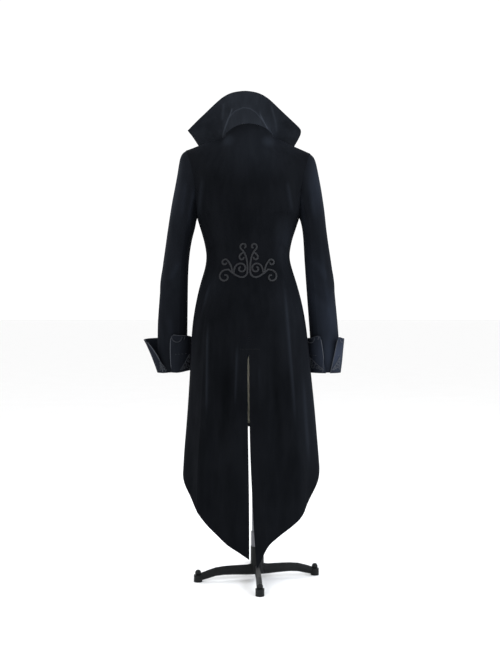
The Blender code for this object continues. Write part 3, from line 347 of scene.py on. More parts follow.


# Soft patches of painted highlight, and of painted shade where the level is below 0, over the
# whole coat, with their reach along each axis
LIGHT_PATCHES = (
    LightPatch((0.012, -0.10, 1.275), (0.180, 0.40, 0.120), 0.45),
    LightPatch((0.135, -0.08, 0.800), (0.085, 0.40, 0.200), 0.25),
    LightPatch((0.195, -0.04, 0.540), (0.080, 0.40, 0.260), 0.40),
    LightPatch((0.118, -0.08, 1.000), (0.045, 0.40, 0.100), 0.50),
    LightPatch((-0.090, -0.10, 0.880), (0.040, 0.40, 0.060), 0.20),
    LightPatch((0.012, -0.10, 0.240), (0.260, 0.40, 0.480), -0.85),
    LightPatch((-0.165, -0.05, 0.520), (0.075, 0.40, 0.480), -0.90),
    LightPatch((0.250, 0.02, 0.780), (0.080, 0.20, 0.140), 0.60),
    LightPatch((0.250, 0.00, 0.670), (0.040, 0.20, 0.080), 0.80),
    LightPatch((0.195, 0.00, 0.880), (0.050, 0.20, 0.170), 0.35),
    LightPatch((0.215, 0.00, 1.180), (0.045, 0.20, 0.140), 0.45),
    LightPatch((0.172, 0.00, 1.170), (0.030, 0.20, 0.100), -0.40),
    LightPatch((-0.215, 0.00, 1.190), (0.045, 0.20, 0.140), 0.35),
    LightPatch((-0.166, 0.00, 1.190), (0.030, 0.20, 0.100), -0.40),
    LightPatch((0.292, 0.01, 0.665), (0.045, 0.06, 0.090), 0.70),
    LightPatch((0.205, 0.00, 0.660), (0.040, 0.06, 0.080), 0.50),
    LightPatch((-0.280, 0.01, 0.670), (0.040, 0.06, 0.070), 0.10),
    LightPatch((0.008, -0.09, 1.362), (0.085, 0.30, 0.070), -0.85),
    LightPatch((-0.047, -0.10, 1.302), (0.026, 0.20, 0.026), 0.85),
    LightPatch((0.068, -0.10, 1.298), (0.026, 0.20, 0.026), 0.90),
    LightPatch((-0.120, 0.00, 1.312), (0.080, 0.20, 0.060), 0.42),
    LightPatch((0.140, 0.00, 1.312), (0.080, 0.20, 0.060), 0.42),
)


@dataclass(frozen=True)
class Finish:
    """A procedural material."""

    name: str

    def build(self) -> bpy.types.Material:
        """Make the material.

        Returns:
            The finished material.
        """
        shader = Shader(self.name)
        self.paint(shader)
        return shader.material

    def paint(self, shader: Shader) -> None:
        """Add the finish to its shader."""
        raise NotImplementedError


@dataclass(frozen=True)
class Velvet(Finish):
    """Cotton velvet: dark pile with patches of brushing, painted highlights and painted shade, and
    a bluish sheen.
    """

    pile_light: PileLight
    tint: Triple = (0.66, 0.74, 1.0)
    patch_scale: float = 9.0
    streak_scale: float = 60.0
    pile_scale: float = 1500.0
    pile_depth: float = 0.0004
    # Share of the painted fold highlight and painted trough shade in the colour
    fold_light_share: float = 0.70
    specular: float = 0.015
    sheen_roughness: float = 0.42

    def paint(self, shader: Shader) -> None:
        """Colour the pile by how it lies, with painted highlights on fold crests, painted shade in
        troughs, and soft patches of painted highlight and shade.

        Args:
            shader: The finish's node tree.
        """
        patches = shader.noise(self.patch_scale, 3.0, (1.0, 1.0, 0.55))
        streaks = shader.noise(self.streak_scale, 2.0, (1.0, 1.0, 0.16))
        pile = shader.noise(self.pile_scale, 2.0)
        lay = shader.ramp(patches * 0.70 + streaks * 0.30, ((0.36, 0.0), (0.66, 1.0)))
        # Fold crests get a painted highlight and troughs get painted shade
        ridge = shader.add("ShaderNodeAttribute", {"attribute_name": FOLD_LIGHT}, {}, "Fac")
        painted_light = ridge * self.fold_light_share
        # Soft patches of painted highlight, and of painted shade where their level is below 0
        for light_patch in LIGHT_PATCHES:
            painted_light = painted_light + shader.patch(light_patch)
        shade = lay * 0.30 + pile * 0.25 + painted_light * 0.50 + 0.20
        # The pile goes from its darkest to its mid tone by random brushing and by painted light,
        # then toward the painted highlight where the painted light is strong
        painted_pile = self.pile_light.value
        under = shader.blend(shade, painted_pile.deep_shaded, painted_pile.brushed)
        shader.feed("Base Color", shader.blend(painted_light * (0.75 + lay * 0.25), under, painted_pile.lit))
        shader.feed("Roughness", 0.92 - lay * 0.14)
        shader.bump(pile * 0.7 + streaks * 0.3, self.pile_depth, 0.35)
        shader.constants(
            Sheen_Weight=painted_pile.sheen,
            Sheen_Roughness=self.sheen_roughness,
            Sheen_Tint=(*self.tint, 1.0),
            Specular_IOR_Level=self.specular,
        )


@dataclass(frozen=True)
class Corded(Finish):
    """Braid, piping or thread: a tight twisted cord whose plies catch the light."""

    dark: Triple
    light: Triple
    ply_scale: float = 420.0
    fuzz_scale: float = 900.0
    ply_depth: float = 0.0005
    unevenness: float = 1.2

    def paint(self, shader: Shader) -> None:
        """Shade and raise the plies.

        Args:
            shader: The finish's node tree.
        """
        plies = shader.bands(Bands.SLANTED, self.ply_scale, self.unevenness)
        shade = plies * 0.65 + shader.noise(self.fuzz_scale, 2.0) * 0.35
        shader.feed("Base Color", shader.blend(shade, self.dark, self.light))
        shader.bump(shade, self.ply_depth, 0.6)
        shader.constants(
            Roughness=0.62, Sheen_Weight=0.05, Sheen_Roughness=0.4, Specular_IOR_Level=0.15
        )


@dataclass(frozen=True)
class Jersey(Finish):
    """Fine knitted cover of the dress form, a little worn."""

    pale: Triple = (0.74, 0.70, 0.57)
    worn: Triple = (0.58, 0.54, 0.42)
    cloud_scale: float = 7.0
    rib_scale: float = 260.0
    rib_depth: float = 0.0004
    unevenness: float = 0.6

    def paint(self, shader: Shader) -> None:
        """Cloud the colour and raise the knit.

        Args:
            shader: The finish's node tree.
        """
        clouds = shader.noise(self.cloud_scale, 4.0, (1.0, 1.0, 0.6))
        ribs = shader.bands(Bands.ACROSS, self.rib_scale, self.unevenness)
        rows = shader.bands(Bands.UP, self.rib_scale, self.unevenness)
        knit = ribs * 0.6 + rows * 0.4
        shader.feed("Base Color", shader.blend(clouds * 0.8 + knit * 0.2, self.pale, self.worn))
        shader.feed("Roughness", 0.80 + clouds * 0.12)
        shader.bump(knit, self.rib_depth, 0.4)
        shader.constants(Sheen_Weight=0.15)


@dataclass(frozen=True)
class Metal(Finish):
    """Metal with fine marks of use, bare or enamelled."""

    clean: Triple
    worn: Triple
    roughness: float
    metallic: float
    specular: float
    grain: Triple = EVEN
    mark_scale: float = 60.0
    cloud_scale: float = 12.0
    relief: float = 0.0003

    def paint(self, shader: Shader) -> None:
        """Mark the surface along its grain.

        Args:
            shader: The finish's node tree.
        """
        marks = shader.noise(self.mark_scale, 5.0, self.grain)
        clouds = shader.noise(self.cloud_scale, 3.0)
        worn = shader.ramp(clouds * 0.5 + marks * 0.5, ((0.38, 0.0), (0.62, 1.0)))
        shader.feed("Base Color", shader.blend(worn, self.clean, self.worn))
        shader.feed("Roughness", self.roughness + marks * 0.18)
        shader.bump(marks, self.relief, 0.45)
        shader.constants(Metallic=self.metallic, Specular_IOR_Level=self.specular)


@dataclass(frozen=True)
class Moulded(Finish):
    """Turned or moulded piece with a satin face."""

    colour: Triple
    rubbed: Triple
    roughness: float = 0.34
    rub_scale: float = 140.0
    relief: float = 0.0001

    def paint(self, shader: Shader) -> None:
        """Rub the surface a little.

        Args:
            shader: The finish's node tree.
        """
        rub = shader.noise(self.rub_scale, 4.0)
        shader.feed("Base Color", shader.blend(rub, self.colour, self.rubbed))
        shader.feed("Roughness", self.roughness + rub * 0.15)
        shader.bump(rub, self.relief, 0.3)


# Mesh helpers


def smooth(low: float, high: float, value: np.ndarray) -> np.ndarray:
    """Go softly from 0 where a value is low to 1 where it is high."""
    share = np.clip((value - low) / (high - low), 0.0, 1.0)
    return share * share * (3.0 - 2.0 * share)


def deselect() -> None:
    """Leave nothing selected."""
    bpy.ops.object.select_all(action="DESELECT")


def activate(item: bpy.types.Object) -> None:
    """Select one object alone and make it the active one.

    Args:
        item: The object.
    """
    deselect()
    item.select_set(True)
    bpy.context.view_layer.objects.active = item


def points_of(item: bpy.types.Object) -> np.ndarray:
    """Read the vertices of a mesh.

    Args:
        item: A mesh object at the origin.

    Returns:
        One row for each vertex.
    """
    flat = np.zeros(len(item.data.vertices) * 3, np.float64)
    item.data.vertices.foreach_get("co", flat)
    return flat.reshape(-1, 3)


def set_points(item: bpy.types.Object, points: np.ndarray) -> None:
    """Write the vertices of a mesh."""
    item.data.vertices.foreach_set("co", points.astype(np.float32).ravel())
    item.data.update()


@contextmanager
def edited(item: bpy.types.Object) -> Iterator[bmesh.types.BMesh]:
    """Open a mesh for editing, and write it back at the end.

    Args:
        item: A mesh object.

    Yields:
        The open mesh.
    """
    shape = bmesh.new()
    shape.from_mesh(item.data)
    yield shape
    shape.to_mesh(item.data)
    shape.free()


def paint(item: bpy.types.Object, material: bpy.types.Material) -> None:
    """Give an object its only material, and log it.

    Args:
        item: The object.
        material: Its material.
    """
    item.data.materials.clear()
    item.data.materials.append(material)
    LOG.info("%s: %s, %d faces", item.name, material.name, len(item.data.polygons))


def dress(item: bpy.types.Object, material: bpy.types.Material) -> None:
    """Paint a new piece and let it ride on the part.

    Args:
        item: The piece.
        material: Its material.
    """
    paint(item, material)
    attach(item, "root")


def finish(item: bpy.types.Object, material: bpy.types.Material, node: str) -> None:
    """Shade and dress a shell, and let it take its solid's place.

    Args:
        item: The shell.
        material: Its material.
        node: The node that it replaces.
    """
    shade(item, SHADE_ANGLE)
    dress(item, material)
    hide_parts(node)


def copy_node(node: str, name: str) -> bpy.types.Object:
    """Copy a node of the part as quads, merged.

    Args:
        node: Name of the node.
        name: Name of the new piece.

    Returns:
        The copy, active and selected.
    """
    item = bpy.data.objects.new(name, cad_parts[node].data.copy())
    bpy.context.scene.collection.objects.link(item)
    activate(item)
    bpy.ops.object.mode_set(mode="EDIT")
    bpy.ops.mesh.select_all(action="SELECT")
    bpy.ops.mesh.customdata_custom_splitnormals_clear()
    bpy.ops.mesh.remove_doubles(threshold=MERGE_REACH)
    bpy.ops.mesh.tris_convert_to_quads(face_threshold=QUAD_ANGLE, shape_threshold=QUAD_SKEW)
    bpy.ops.object.mode_set(mode="OBJECT")
    return item


def crease_rims(
    item: bpy.types.Object, angle: float = RIM_ANGLE, strength: float = 1.0, corner: float = 0.0
) -> None:
    """Hold the sharp rims of a wall while it is made smooth.

    Args:
        item: The wall.
        angle: Smallest angle of a rim, in degrees.
        strength: How tightly a rim is held, from 0 to 1.
        corner: Length up to which an edge across a rim is held at a smaller angle too.
    """
    with edited(item) as shape:
        layer = shape.edges.layers.float.get("crease_edge")
        if layer is None:
            layer = shape.edges.layers.float.new("crease_edge")
        for edge in shape.edges:
            least = CORNER_ANGLE if edge.calc_length() < corner else angle
            if len(edge.link_faces) == 2 and edge.calc_face_angle() > math.radians(least):
                edge[layer] = strength


def is_rim(face: bmesh.types.BMFace, thickness: float) -> bool:
    """Tell whether a face is part of the narrow rim of a wall.

    Args:
        face: The face.
        thickness: The wall's thickness.

    Returns:
        True for a rim face.
    """
    sharp = [edge for edge in face.edges if edge.calc_face_angle(0.0) > math.radians(RIM_ANGLE)]
    longest = max(edge.calc_length() for edge in face.edges)
    return len(sharp) >= 2 and face.calc_area() / longest < RIM_WIDTH * thickness


def reach_out(item: bpy.types.Object, thickness: float, armhole: float) -> None:
    """Move the rims of a piece out to meet the next piece at the seam.

    Args:
        item: The piece, still with its solid's points.
        thickness: Its thickness.
        armhole: How far a rim moves at the armhole.
    """
    with edited(item) as shape:
        moves = {}
        for face in shape.faces:
            if is_rim(face, thickness):
                high = face.calc_center_median().z > ARMHOLE_Z
                reach = armhole if high and abs(face.normal.x) > ARMHOLE_TURN else SEAM_REACH
                for vertex in face.verts:
                    moves[vertex] = face.normal * reach
        for vertex, move in moves.items():
            vertex.co += move


def subdivide(item: bpy.types.Object, levels: int, split: Split = Split.SMOOTH) -> None:
    """Apply a subdivision.

    Args:
        item: The piece.
        levels: Times that each face is split.
        split: Whether it gets smooth or keeps its shape.
    """
    activate(item)
    finer = item.modifiers.new("finer", "SUBSURF")
    finer.subdivision_type = split.value
    finer.levels = levels
    finer.render_levels = levels
    finer.boundary_smooth = "PRESERVE_CORNERS"
    bpy.ops.object.modifier_apply(modifier=finer.name)


def thin(item: bpy.types.Object, share: float) -> None:
    """Take triangles out of a piece where it is smooth.

    Args:
        item: The piece.
        share: The share of its triangles that stay.
    """
    activate(item)
    thinner = item.modifiers.new("thinner", "DECIMATE")
    thinner.ratio = share
    bpy.ops.object.modifier_apply(modifier=thinner.name)


def shade(item: bpy.types.Object, angle: float) -> None:
    """Shade a piece smooth except across its sharp edges."""
    activate(item)
    bpy.ops.object.shade_smooth_by_angle(angle=math.radians(angle))


@dataclass(frozen=True)
class Fold:
    """A soft ridge or trough that runs from one point to another.

    Each end is a height and a place across the side that the fold lies on; across the back and
    the front that is measured from the centre seam.
    """

    facing: Facing
    high: Pair
    low: Pair
    width: float
    rise: float

    def lift(self, points: np.ndarray, axis: np.ndarray, outward: np.ndarray) -> np.ndarray:
        """Work out how far each point is lifted.

        Args:
            points: The points.
            axis: The middle of the piece at each point's height, x and y.
            outward: The horizontal outward direction at each point.

        Returns:
            The lift of each point, in metres.
        """
        side = outward @ np.array(self.facing.value)
        along_x = self.facing in (Facing.BACK, Facing.FRONT)
        across = points[:, 0] - CENTRE_X if along_x else points[:, 1]
        share = (self.high[0] - points[:, 2]) / (self.high[0] - self.low[0])
        clipped = np.clip(share, 0.0, 1.0)
        middle = self.high[1] + (self.low[1] - self.high[1]) * clipped
        slope = (self.low[1] - self.high[1]) / (self.high[0] - self.low[0])
        distance = (across - middle) / math.sqrt(1 + slope * slope)
        ends = smooth(*FOLD_RISE, share) * (1.0 - smooth(*FOLD_FALL, share))
        ridge = np.exp(-((distance / self.width) ** 2))
        return self.rise * ridge * ends * smooth(*FOLD_TURN, side)


def folds(sides: dict[Facing, tuple[tuple[float, ...], ...]]) -> tuple[Fold, ...]:
    """Make folds from rows.

    Args:
        sides: Rows of the high end's height and place, the low end's, the width and the rise.

    Returns:
        The folds.
    """
    return tuple(
        Fold(side, row[:2], row[2:4], *row[4:]) for side, rows in sides.items() for row in rows
    )


@dataclass(frozen=True)
class Pull:
    """A place where the cloth is drawn away from its solid, fading with distance."""

    place: Triple
    move: Triple
    reach: Triple


def draw(item: bpy.types.Object, pulls: tuple[Pull, ...]) -> None:
    """Draw the points of a piece by each of its pulls.

    Args:
        item: The piece.
        pulls: The pulls, all measured from the undrawn points.
    """
    points = points_of(item)
    moved = points.copy()
    for pull in pulls:
        away = (points - np.array(pull.place)) / np.array(pull.reach)
        moved += np.exp(-(away * away).sum(axis=1))[:, None] * np.array(pull.move)
    set_points(item, moved)


def mark_fold_light(item: bpy.types.Object, ridges: np.ndarray) -> None:
    """Keep how high each point lies on a fold, for a painted highlight on its crest and painted
    shade in its trough.

    Args:
        item: The piece.
        ridges: 1 on top of a fold, -1 in a trough, 0 elsewhere.
    """
    layer = item.data.attributes.new(FOLD_LIGHT, "FLOAT", "POINT")
    sharp = np.clip(ridges * np.abs(ridges), -1.0, 1.0)
    layer.data.foreach_set("value", sharp.astype(np.float32))


@dataclass(frozen=True)
class Axis:
    """The middle line of a tube of cloth, as rows of height, x from the centre seam, and y."""

    rows: tuple[Triple, ...]

    def at(self, heights: np.ndarray) -> np.ndarray:
        """Read the middle line.

        Args:
            heights: Heights to read it at.

        Returns:
            Its x and y at each height.
        """
        ordered = sorted(self.rows)
        levels = [row[0] for row in ordered]
        x = CENTRE_X + np.interp(heights, levels, [row[1] for row in ordered])
        y = np.interp(heights, levels, [row[2] for row in ordered])
        return np.stack([x, y], axis=1)


def ripple(points: np.ndarray, scale: float, seed: float) -> np.ndarray:
    """Slow unevenness of hung cloth.

    Args:
        points: The points.
        scale: Waves for each metre.
        seed: Moves the pattern.

    Returns:
        A value from -1 to 1 for each point.
    """
    offset = Vector((seed, seed * 1.7, seed * 0.3))
    stretch = Vector((scale, scale, scale * 0.45))
    values = [noise.noise(Vector(point) * stretch + offset) for point in points]
    return np.array(values)


# Cords and braids


def rounded(points: np.ndarray, times: int) -> np.ndarray:
    """Smooth a line between its ends the way a subdivision smooths an edge.

    Args:
        points: Its points.
        times: How often each span is halved.

    Returns:
        The smoother line.
    """
    line = points
    for _ in range(times):
        finer = np.empty((2 * len(line) - 1, line.shape[1]))
        finer[0::2] = line
        finer[2:-2:2] = (line[:-2] + 6.0 * line[1:-1] + line[2:]) / 8.0
        finer[1::2] = (line[:-1] + line[1:]) / 2.0
        line = finer
    return line


def even(points: np.ndarray, step: float) -> np.ndarray:
    """Space a line evenly.

    Args:
        points: Its points.
        step: Wanted distance between two points.

    Returns:
        The line with even steps.
    """
    runs = np.linalg.norm(np.diff(points, axis=0), axis=1)
    along = np.concatenate([[0.0], np.cumsum(runs)])
    count = max(3, int(round(along[-1] / step)) + 1)
    places = np.linspace(0.0, along[-1], count)
    columns = [np.interp(places, along, points[:, axis]) for axis in range(points.shape[1])]
    return np.stack(columns, axis=1)


class Ground:
    """The cloth that a cord is laid on, seen from behind or from the front."""

    def __init__(self, items: list[bpy.types.Object], facing: Facing) -> None:
        """Read the faces of the pieces.

        Args:
            items: The pieces that it is laid on.
            facing: Facing.BACK or Facing.FRONT.
        """
        self.side = facing.value[1]
        corners = []
        faces = []
        for item in items:
            first = len(corners)
            corners += [vertex.co.copy() for vertex in item.data.vertices]
            faces += [[first + i for i in polygon.vertices] for polygon in item.data.polygons]
        self.tree = BVHTree.FromPolygons(corners, faces)

    def lay(self, flat: np.ndarray) -> tuple[np.ndarray, np.ndarray]:
        """Lay a flat line on the cloth.

        Args:
            flat: Rows of x and z.

        Returns:
            The points on the cloth and the outward direction at each.
        """
        points = []
        normals = []
        for x, z in flat:
            start = Vector((x, self.side, z))
            point, normal, _, _ = self.tree.ray_cast(start, Vector((0.0, -self.side, 0.0)))
            if point is None:
                guess = Vector((x, points[-1][1] if points else 0.0, z))
                point, normal, _, _ = self.tree.find_nearest(guess)
            points.append(tuple(point))
            normals.append(tuple(normal if normal.y * self.side > 0 else -normal))
        smoothed = np.array(normals)
        for _ in range(3):
            smoothed[1:-1] = (smoothed[:-2] + 2.0 * smoothed[1:-1] + smoothed[2:]) / 4.0
        smoothed /= np.linalg.norm(smoothed, axis=1, keepdims=True)
        return np.array(points), smoothed


def cords(name: str, lines: list[np.ndarray], radius: float) -> bpy.types.Object:
    """Make round cords along lines, as one mesh.

    Args:
        name: Name of the piece.
        lines: The middle line of each cord.
        radius: Their radius.

    Returns:
        The piece, active and selected.
    """
    deselect()
    bpy.ops.curve.primitive_nurbs_path_add(location=(0.0, 0.0, 0.0))
    item = bpy.context.object
    item.name = name
    curve = item.data
    curve.splines.clear()
    for line in lines:
        spline = curve.splines.new("POLY")
        spline.points.add(len(line) - 1)
        rows = np.concatenate([line, np.ones((len(line), 1))], axis=1)
        spline.points.foreach_set("co", rows.ravel())
        spline.use_smooth = True
    curve.bevel_depth = radius
    curve.bevel_resolution = 1
    curve.use_fill_caps = True
    activate(item)
    bpy.ops.object.convert(target="MESH")
    shade(item, CORD_ANGLE)
    return item


@dataclass(frozen=True)
class Plait:
    """A flat braid of three cords that cross in turn."""

    width: float
    cord: float
    period: float
    lift: float = 1.25
    weave: float = 0.65

    def lines(self, points: np.ndarray, normals: np.ndarray) -> list[np.ndarray]:
        """Work out the three cords of the braid along a line.

        Args:
            points: Even points on the cloth.
            normals: The outward direction at each.

        Returns:
            The middle line of each cord.
        """
        runs = np.linalg.norm(np.diff(points, axis=0), axis=1)
        along = np.concatenate([[0.0], np.cumsum(runs)])
        heading = np.gradient(points, axis=0)
        across = np.cross(heading, normals)
        across /= np.maximum(np.linalg.norm(across, axis=1, keepdims=True), 1e-9)
        sway = self.width / 2.0 - self.cord
        result = []
        for number in range(3):
            turn = 2.0 * math.pi * (along / self.period + number / 3.0)
            high = self.cord * (self.lift + self.weave * np.sin(2.0 * turn))
            aside = sway * np.sin(turn)
            result.append(points + normals * high[:, None] + across * aside[:, None])
        return result


@dataclass(frozen=True)
class Curl:
    """A curl of braid that winds round its middle, in degrees and metres.

    The middle is measured from the centre seam and from the middle of the motif.
    """

    middle: Pair
    radii: Pair
    angles: Pair
    ease: float

    def line(self, count: int = 72) -> np.ndarray:
        """Work out its points.

        Args:
            count: Number of spans.

        Returns:
            Rows of x and z.
        """
        share = np.linspace(0.0, 1.0, count + 1)
        angle = np.radians(self.angles[0] + (self.angles[1] - self.angles[0]) * share)
        reach = self.radii[0] + (self.radii[1] - self.radii[0]) * share**self.ease
        x = self.middle[0] + reach * np.cos(angle)
        return np.stack([x, self.middle[1] + reach * np.sin(angle)], axis=1)


def rim_line(item: bpy.types.Object, thickness: float) -> np.ndarray:
    """Find the middle line of a wall's rim, all the way round.

    Args:
        item: The wall, still with its solid's points.
        thickness: Its thickness.

    Returns:
        The points in order; the line closes on itself.
    """
    shape = bmesh.new()
    shape.from_mesh(item.data)
    rims = [face for face in shape.faces if is_rim(face, thickness)]
    among = set(rims)
    steps = {}
    for face in rims:
        ends = []
        for edge in face.edges:
            others = [other for other in edge.link_faces if other is not face]
            if others and others[0] in among and edge.calc_length() < RIM_STEP * thickness:
                ends.append(edge)
        for first, second in zip(ends, ends[1:]):
            steps.setdefault(first, []).append(second)
            steps.setdefault(second, []).append(first)
    start = min(steps, key=lambda edge: edge.index)
    order = [start]
    before = None
    here = start
    while True:
        nexts = [edge for edge in steps[here] if edge is not before]
        if not nexts or nexts[-1] is start:
            break
        before = here
        here = nexts[-1]
        order.append(here)
    middles = [tuple((edge.verts[0].co + edge.verts[1].co) / 2) for edge in order]
    shape.free()
    return np.array(middles)


# Cloth


@dataclass(frozen=True)
class Cut:
    """A kind of piece: its name, flat size and area, and how often its faces are split."""

    name: str
    flat: Pair
    area: float
    levels: int


@dataclass(frozen=True)
class Hang:
    """How a part of the coat hangs: its middle line, folds, pulls, rims and fullness."""

    axis: Axis
    folds: tuple[Fold, ...]
    pulls: tuple[Pull, ...] = ()
    armhole: float = SEAM_REACH
    fullness: float = 0.0005


@dataclass
class ClothPiece:
    """One piece of the coat: a thin shell on its solid's form with its creases."""

    cut: Cut
    side: str
    hang: Hang
    material: bpy.types.Material
    thickness: float = 0.0020
    corner: float = 0.0032
    tallest: float = 0.0026
    uneven: float = 0.0006
    waves: float = 14.0
    seed: float = 3.1

    def build(self) -> bpy.types.Object:
        """Returns:
            The finished piece.
        """
        node = f"{self.cut.name}_{self.side}"
        item = copy_node(node, f"{node}_velvet")
        reach_out(item, self.thickness, self.hang.armhole)
        draw(item, self.hang.pulls)
        crease_rims(item, corner=self.corner)
        subdivide(item, self.cut.levels)
        self.crease(item)
        finish(item, self.material, node)
        return item

    def crease(self, item: bpy.types.Object) -> None:
        """Raise the folds and the slow unevenness on both faces of the wall together.

        Args:
            item: The piece.
        """
        points = points_of(item)
        axis = self.hang.axis.at(points[:, 2])
        outward = points[:, :2] - axis
        outward /= np.maximum(np.linalg.norm(outward, axis=1, keepdims=True), 1e-6)
        lift = np.zeros(len(points))
        for fold in self.hang.folds:
            lift += fold.lift(points, axis, outward)
        mark_fold_light(item, lift / self.tallest)
        lift = self.hang.fullness + lift + self.uneven * ripple(points, self.waves, self.seed)
        points[:, :2] += outward * lift[:, None]
        set_points(item, points)


# The whole coat

# Pulls that more than one piece shares
SHOULDER_DROP = Pull((-0.174, 0.0, 1.289), (0.0, 0.0, -0.0050), (0.040, 0.200, 0.040))
CUFF_LIFT = Pull((-0.172, 0.050, 0.6175), (0.0, 0.0, 0.0085), (0.030, 0.060, 0.030))

# Middle lines of the body and of the sleeves
BODY_AXIS = Axis(((0.05, 0.0, -0.02), (1.05, 0.0, 0.0), (1.45, 0.0, 0.02)))
LEFT_ARM = Axis(
    (
        (0.60, -0.2315, 0.057),
        (0.735, -0.2314, 0.041),
        (0.832, -0.2258, 0.020),
        (0.935, -0.2189, 0.003),
        (1.045, -0.2073, -0.002),
        (1.141, -0.1996, 0.0),
        (1.28, -0.1806, 0.0),
    )
)
RIGHT_ARM = Axis(
    (
        (0.60, 0.2355, 0.057),
        (0.735, 0.2270, 0.041),
        (0.832, 0.2176, 0.020),
        (0.935, 0.2074, 0.003),
        (1.045, 0.1980, -0.002),
        (1.141, 0.1904, 0.0),
        (1.27, 0.1724, 0.0),
    )
)

# Folds by side: the high end's height and place, the low end's, the width and the rise
BODY_FOLDS = folds(
    {
        Facing.BACK: (
            (0.900, -0.108, 0.745, -0.150, 0.0050, 0.0024),
            (0.910, -0.128, 0.800, -0.164, 0.0070, 0.0018),
            (0.800, -0.117, 0.470, -0.121, 0.0046, 0.0026),
            (0.850, -0.129, 0.600, -0.151, 0.0090, -0.0018),
            (0.730, -0.032, 0.500, -0.041, 0.0045, 0.0024),
            (0.690, -0.061, 0.350, -0.073, 0.0200, -0.0020),
            (0.660, 0.029, 0.560, 0.029, 0.0045, 0.0012),
            (0.935, 0.097, 0.420, 0.137, 0.0062, 0.0026),
            (0.800, 0.067, 0.330, 0.094, 0.0180, -0.0022),
            (0.640, 0.154, 0.330, 0.174, 0.0070, 0.0024),
            (1.005, -0.096, 0.955, -0.141, 0.0100, -0.0014),
            (1.010, 0.089, 0.955, 0.134, 0.0100, -0.0014),
            (1.190, 0.107, 1.075, 0.127, 0.0070, 0.0020),
            (1.210, -0.131, 1.060, -0.149, 0.0070, 0.0018),
            (1.330, -0.051, 1.270, -0.091, 0.0090, 0.0012),
            (1.330, 0.054, 1.270, 0.094, 0.0090, 0.0012),
        ),
        Facing.FRONT: (
            (0.930, -0.071, 0.660, -0.121, 0.0110, 0.0024),
            (0.930, 0.069, 0.650, 0.119, 0.0110, 0.0022),
            (0.900, -0.121, 0.560, -0.151, 0.0150, -0.0016),
            (0.900, 0.119, 0.560, 0.149, 0.0150, -0.0016),
            (1.060, -0.056, 0.985, -0.111, 0.0100, 0.0016),
            (1.060, 0.055, 0.990, 0.107, 0.0100, 0.0016),
        ),
        Facing.LEFT: (
            (0.900, 0.020, 0.480, 0.035, 0.0120, 0.0024),
            (0.860, -0.035, 0.500, -0.050, 0.0140, -0.0020),
        ),
        Facing.RIGHT: (
            (0.900, 0.024, 0.480, 0.040, 0.0120, 0.0024),
            (0.870, -0.030, 0.500, -0.045, 0.0140, -0.0020),
        ),
    }
)
LEFT_ARM_FOLDS = folds(
    {
        Facing.BACK: (
            (1.180, -0.159, 1.030, -0.181, 0.0070, 0.0026),
            (1.200, -0.183, 1.060, -0.201, 0.0100, 0.0018),
            (1.080, -0.216, 0.980, -0.201, 0.0110, -0.0016),
            (0.960, -0.199, 0.880, -0.243, 0.0120, 0.0020),
            (0.880, -0.201, 0.820, -0.247, 0.0120, -0.0016),
            (0.800, -0.239, 0.700, -0.223, 0.0110, 0.0016),
        ),
        Facing.FRONT: (
            (1.010, -0.187, 0.930, -0.236, 0.0110, 0.0022),
            (0.930, -0.195, 0.860, -0.247, 0.0110, -0.0018),
            (1.180, -0.171, 1.060, -0.201, 0.0090, 0.0020),
        ),
        Facing.LEFT: (
            (1.230, 0.010, 1.050, 0.000, 0.0120, 0.0014),
            (0.940, 0.020, 0.850, -0.010, 0.0120, 0.0016),
        ),
    }
)
RIGHT_ARM_FOLDS = folds(
    {
        Facing.BACK: (
            (1.160, 0.149, 1.020, 0.171, 0.0070, 0.0024),
            (1.200, 0.175, 1.050, 0.195, 0.0100, 0.0018),
            (1.040, 0.205, 0.700, 0.251, 0.0090, 0.0018),
            (0.970, 0.185, 0.890, 0.229, 0.0120, 0.0018),
            (0.880, 0.189, 0.810, 0.237, 0.0120, -0.0016),
        ),
        Facing.FRONT: (
            (1.010, 0.173, 0.930, 0.224, 0.0110, 0.0022),
            (0.930, 0.179, 0.860, 0.235, 0.0110, -0.0018),
            (1.170, 0.159, 1.050, 0.189, 0.0090, 0.0020),
        ),
        Facing.RIGHT: (
            (1.220, 0.010, 1.050, 0.000, 0.0120, 0.0014),
            (0.940, 0.020, 0.850, -0.010, 0.0120, 0.0016),
        ),
    }
)

# What the pieces are cut like, with the flat size and area of one
BODY_CUTS = (
    Cut("back", (0.205, 1.300), 0.173, 3),
    Cut("side_body", (0.130, 0.930), 0.089, 2),
    Cut("front", (0.230, 0.900), 0.126, 2),
)
SLEEVE_CUTS = (
    Cut("sleeve_upper", (0.215, 0.700), 0.116, 3),
    Cut("sleeve_under", (0.115, 0.560), 0.0475, 3),
)
BODY_HANGS = {
    "left": Hang(BODY_AXIS, BODY_FOLDS, (SHOULDER_DROP,)),
    "right": Hang(BODY_AXIS, BODY_FOLDS),
}
SLEEVE_HANGS = {
    "left": Hang(
        LEFT_ARM,
        LEFT_ARM_FOLDS,
        (
            CUFF_LIFT,
            SHOULDER_DROP,
            Pull((-0.192, 0.0, 1.268), (-0.0020, 0.0, 0.0030), (0.016, 0.200, 0.018)),
        ),
        ARMHOLE_REACH,
        0.0009,
    ),
    "right": Hang(RIGHT_ARM, RIGHT_ARM_FOLDS, (), ARMHOLE_REACH, 0.0009),
}


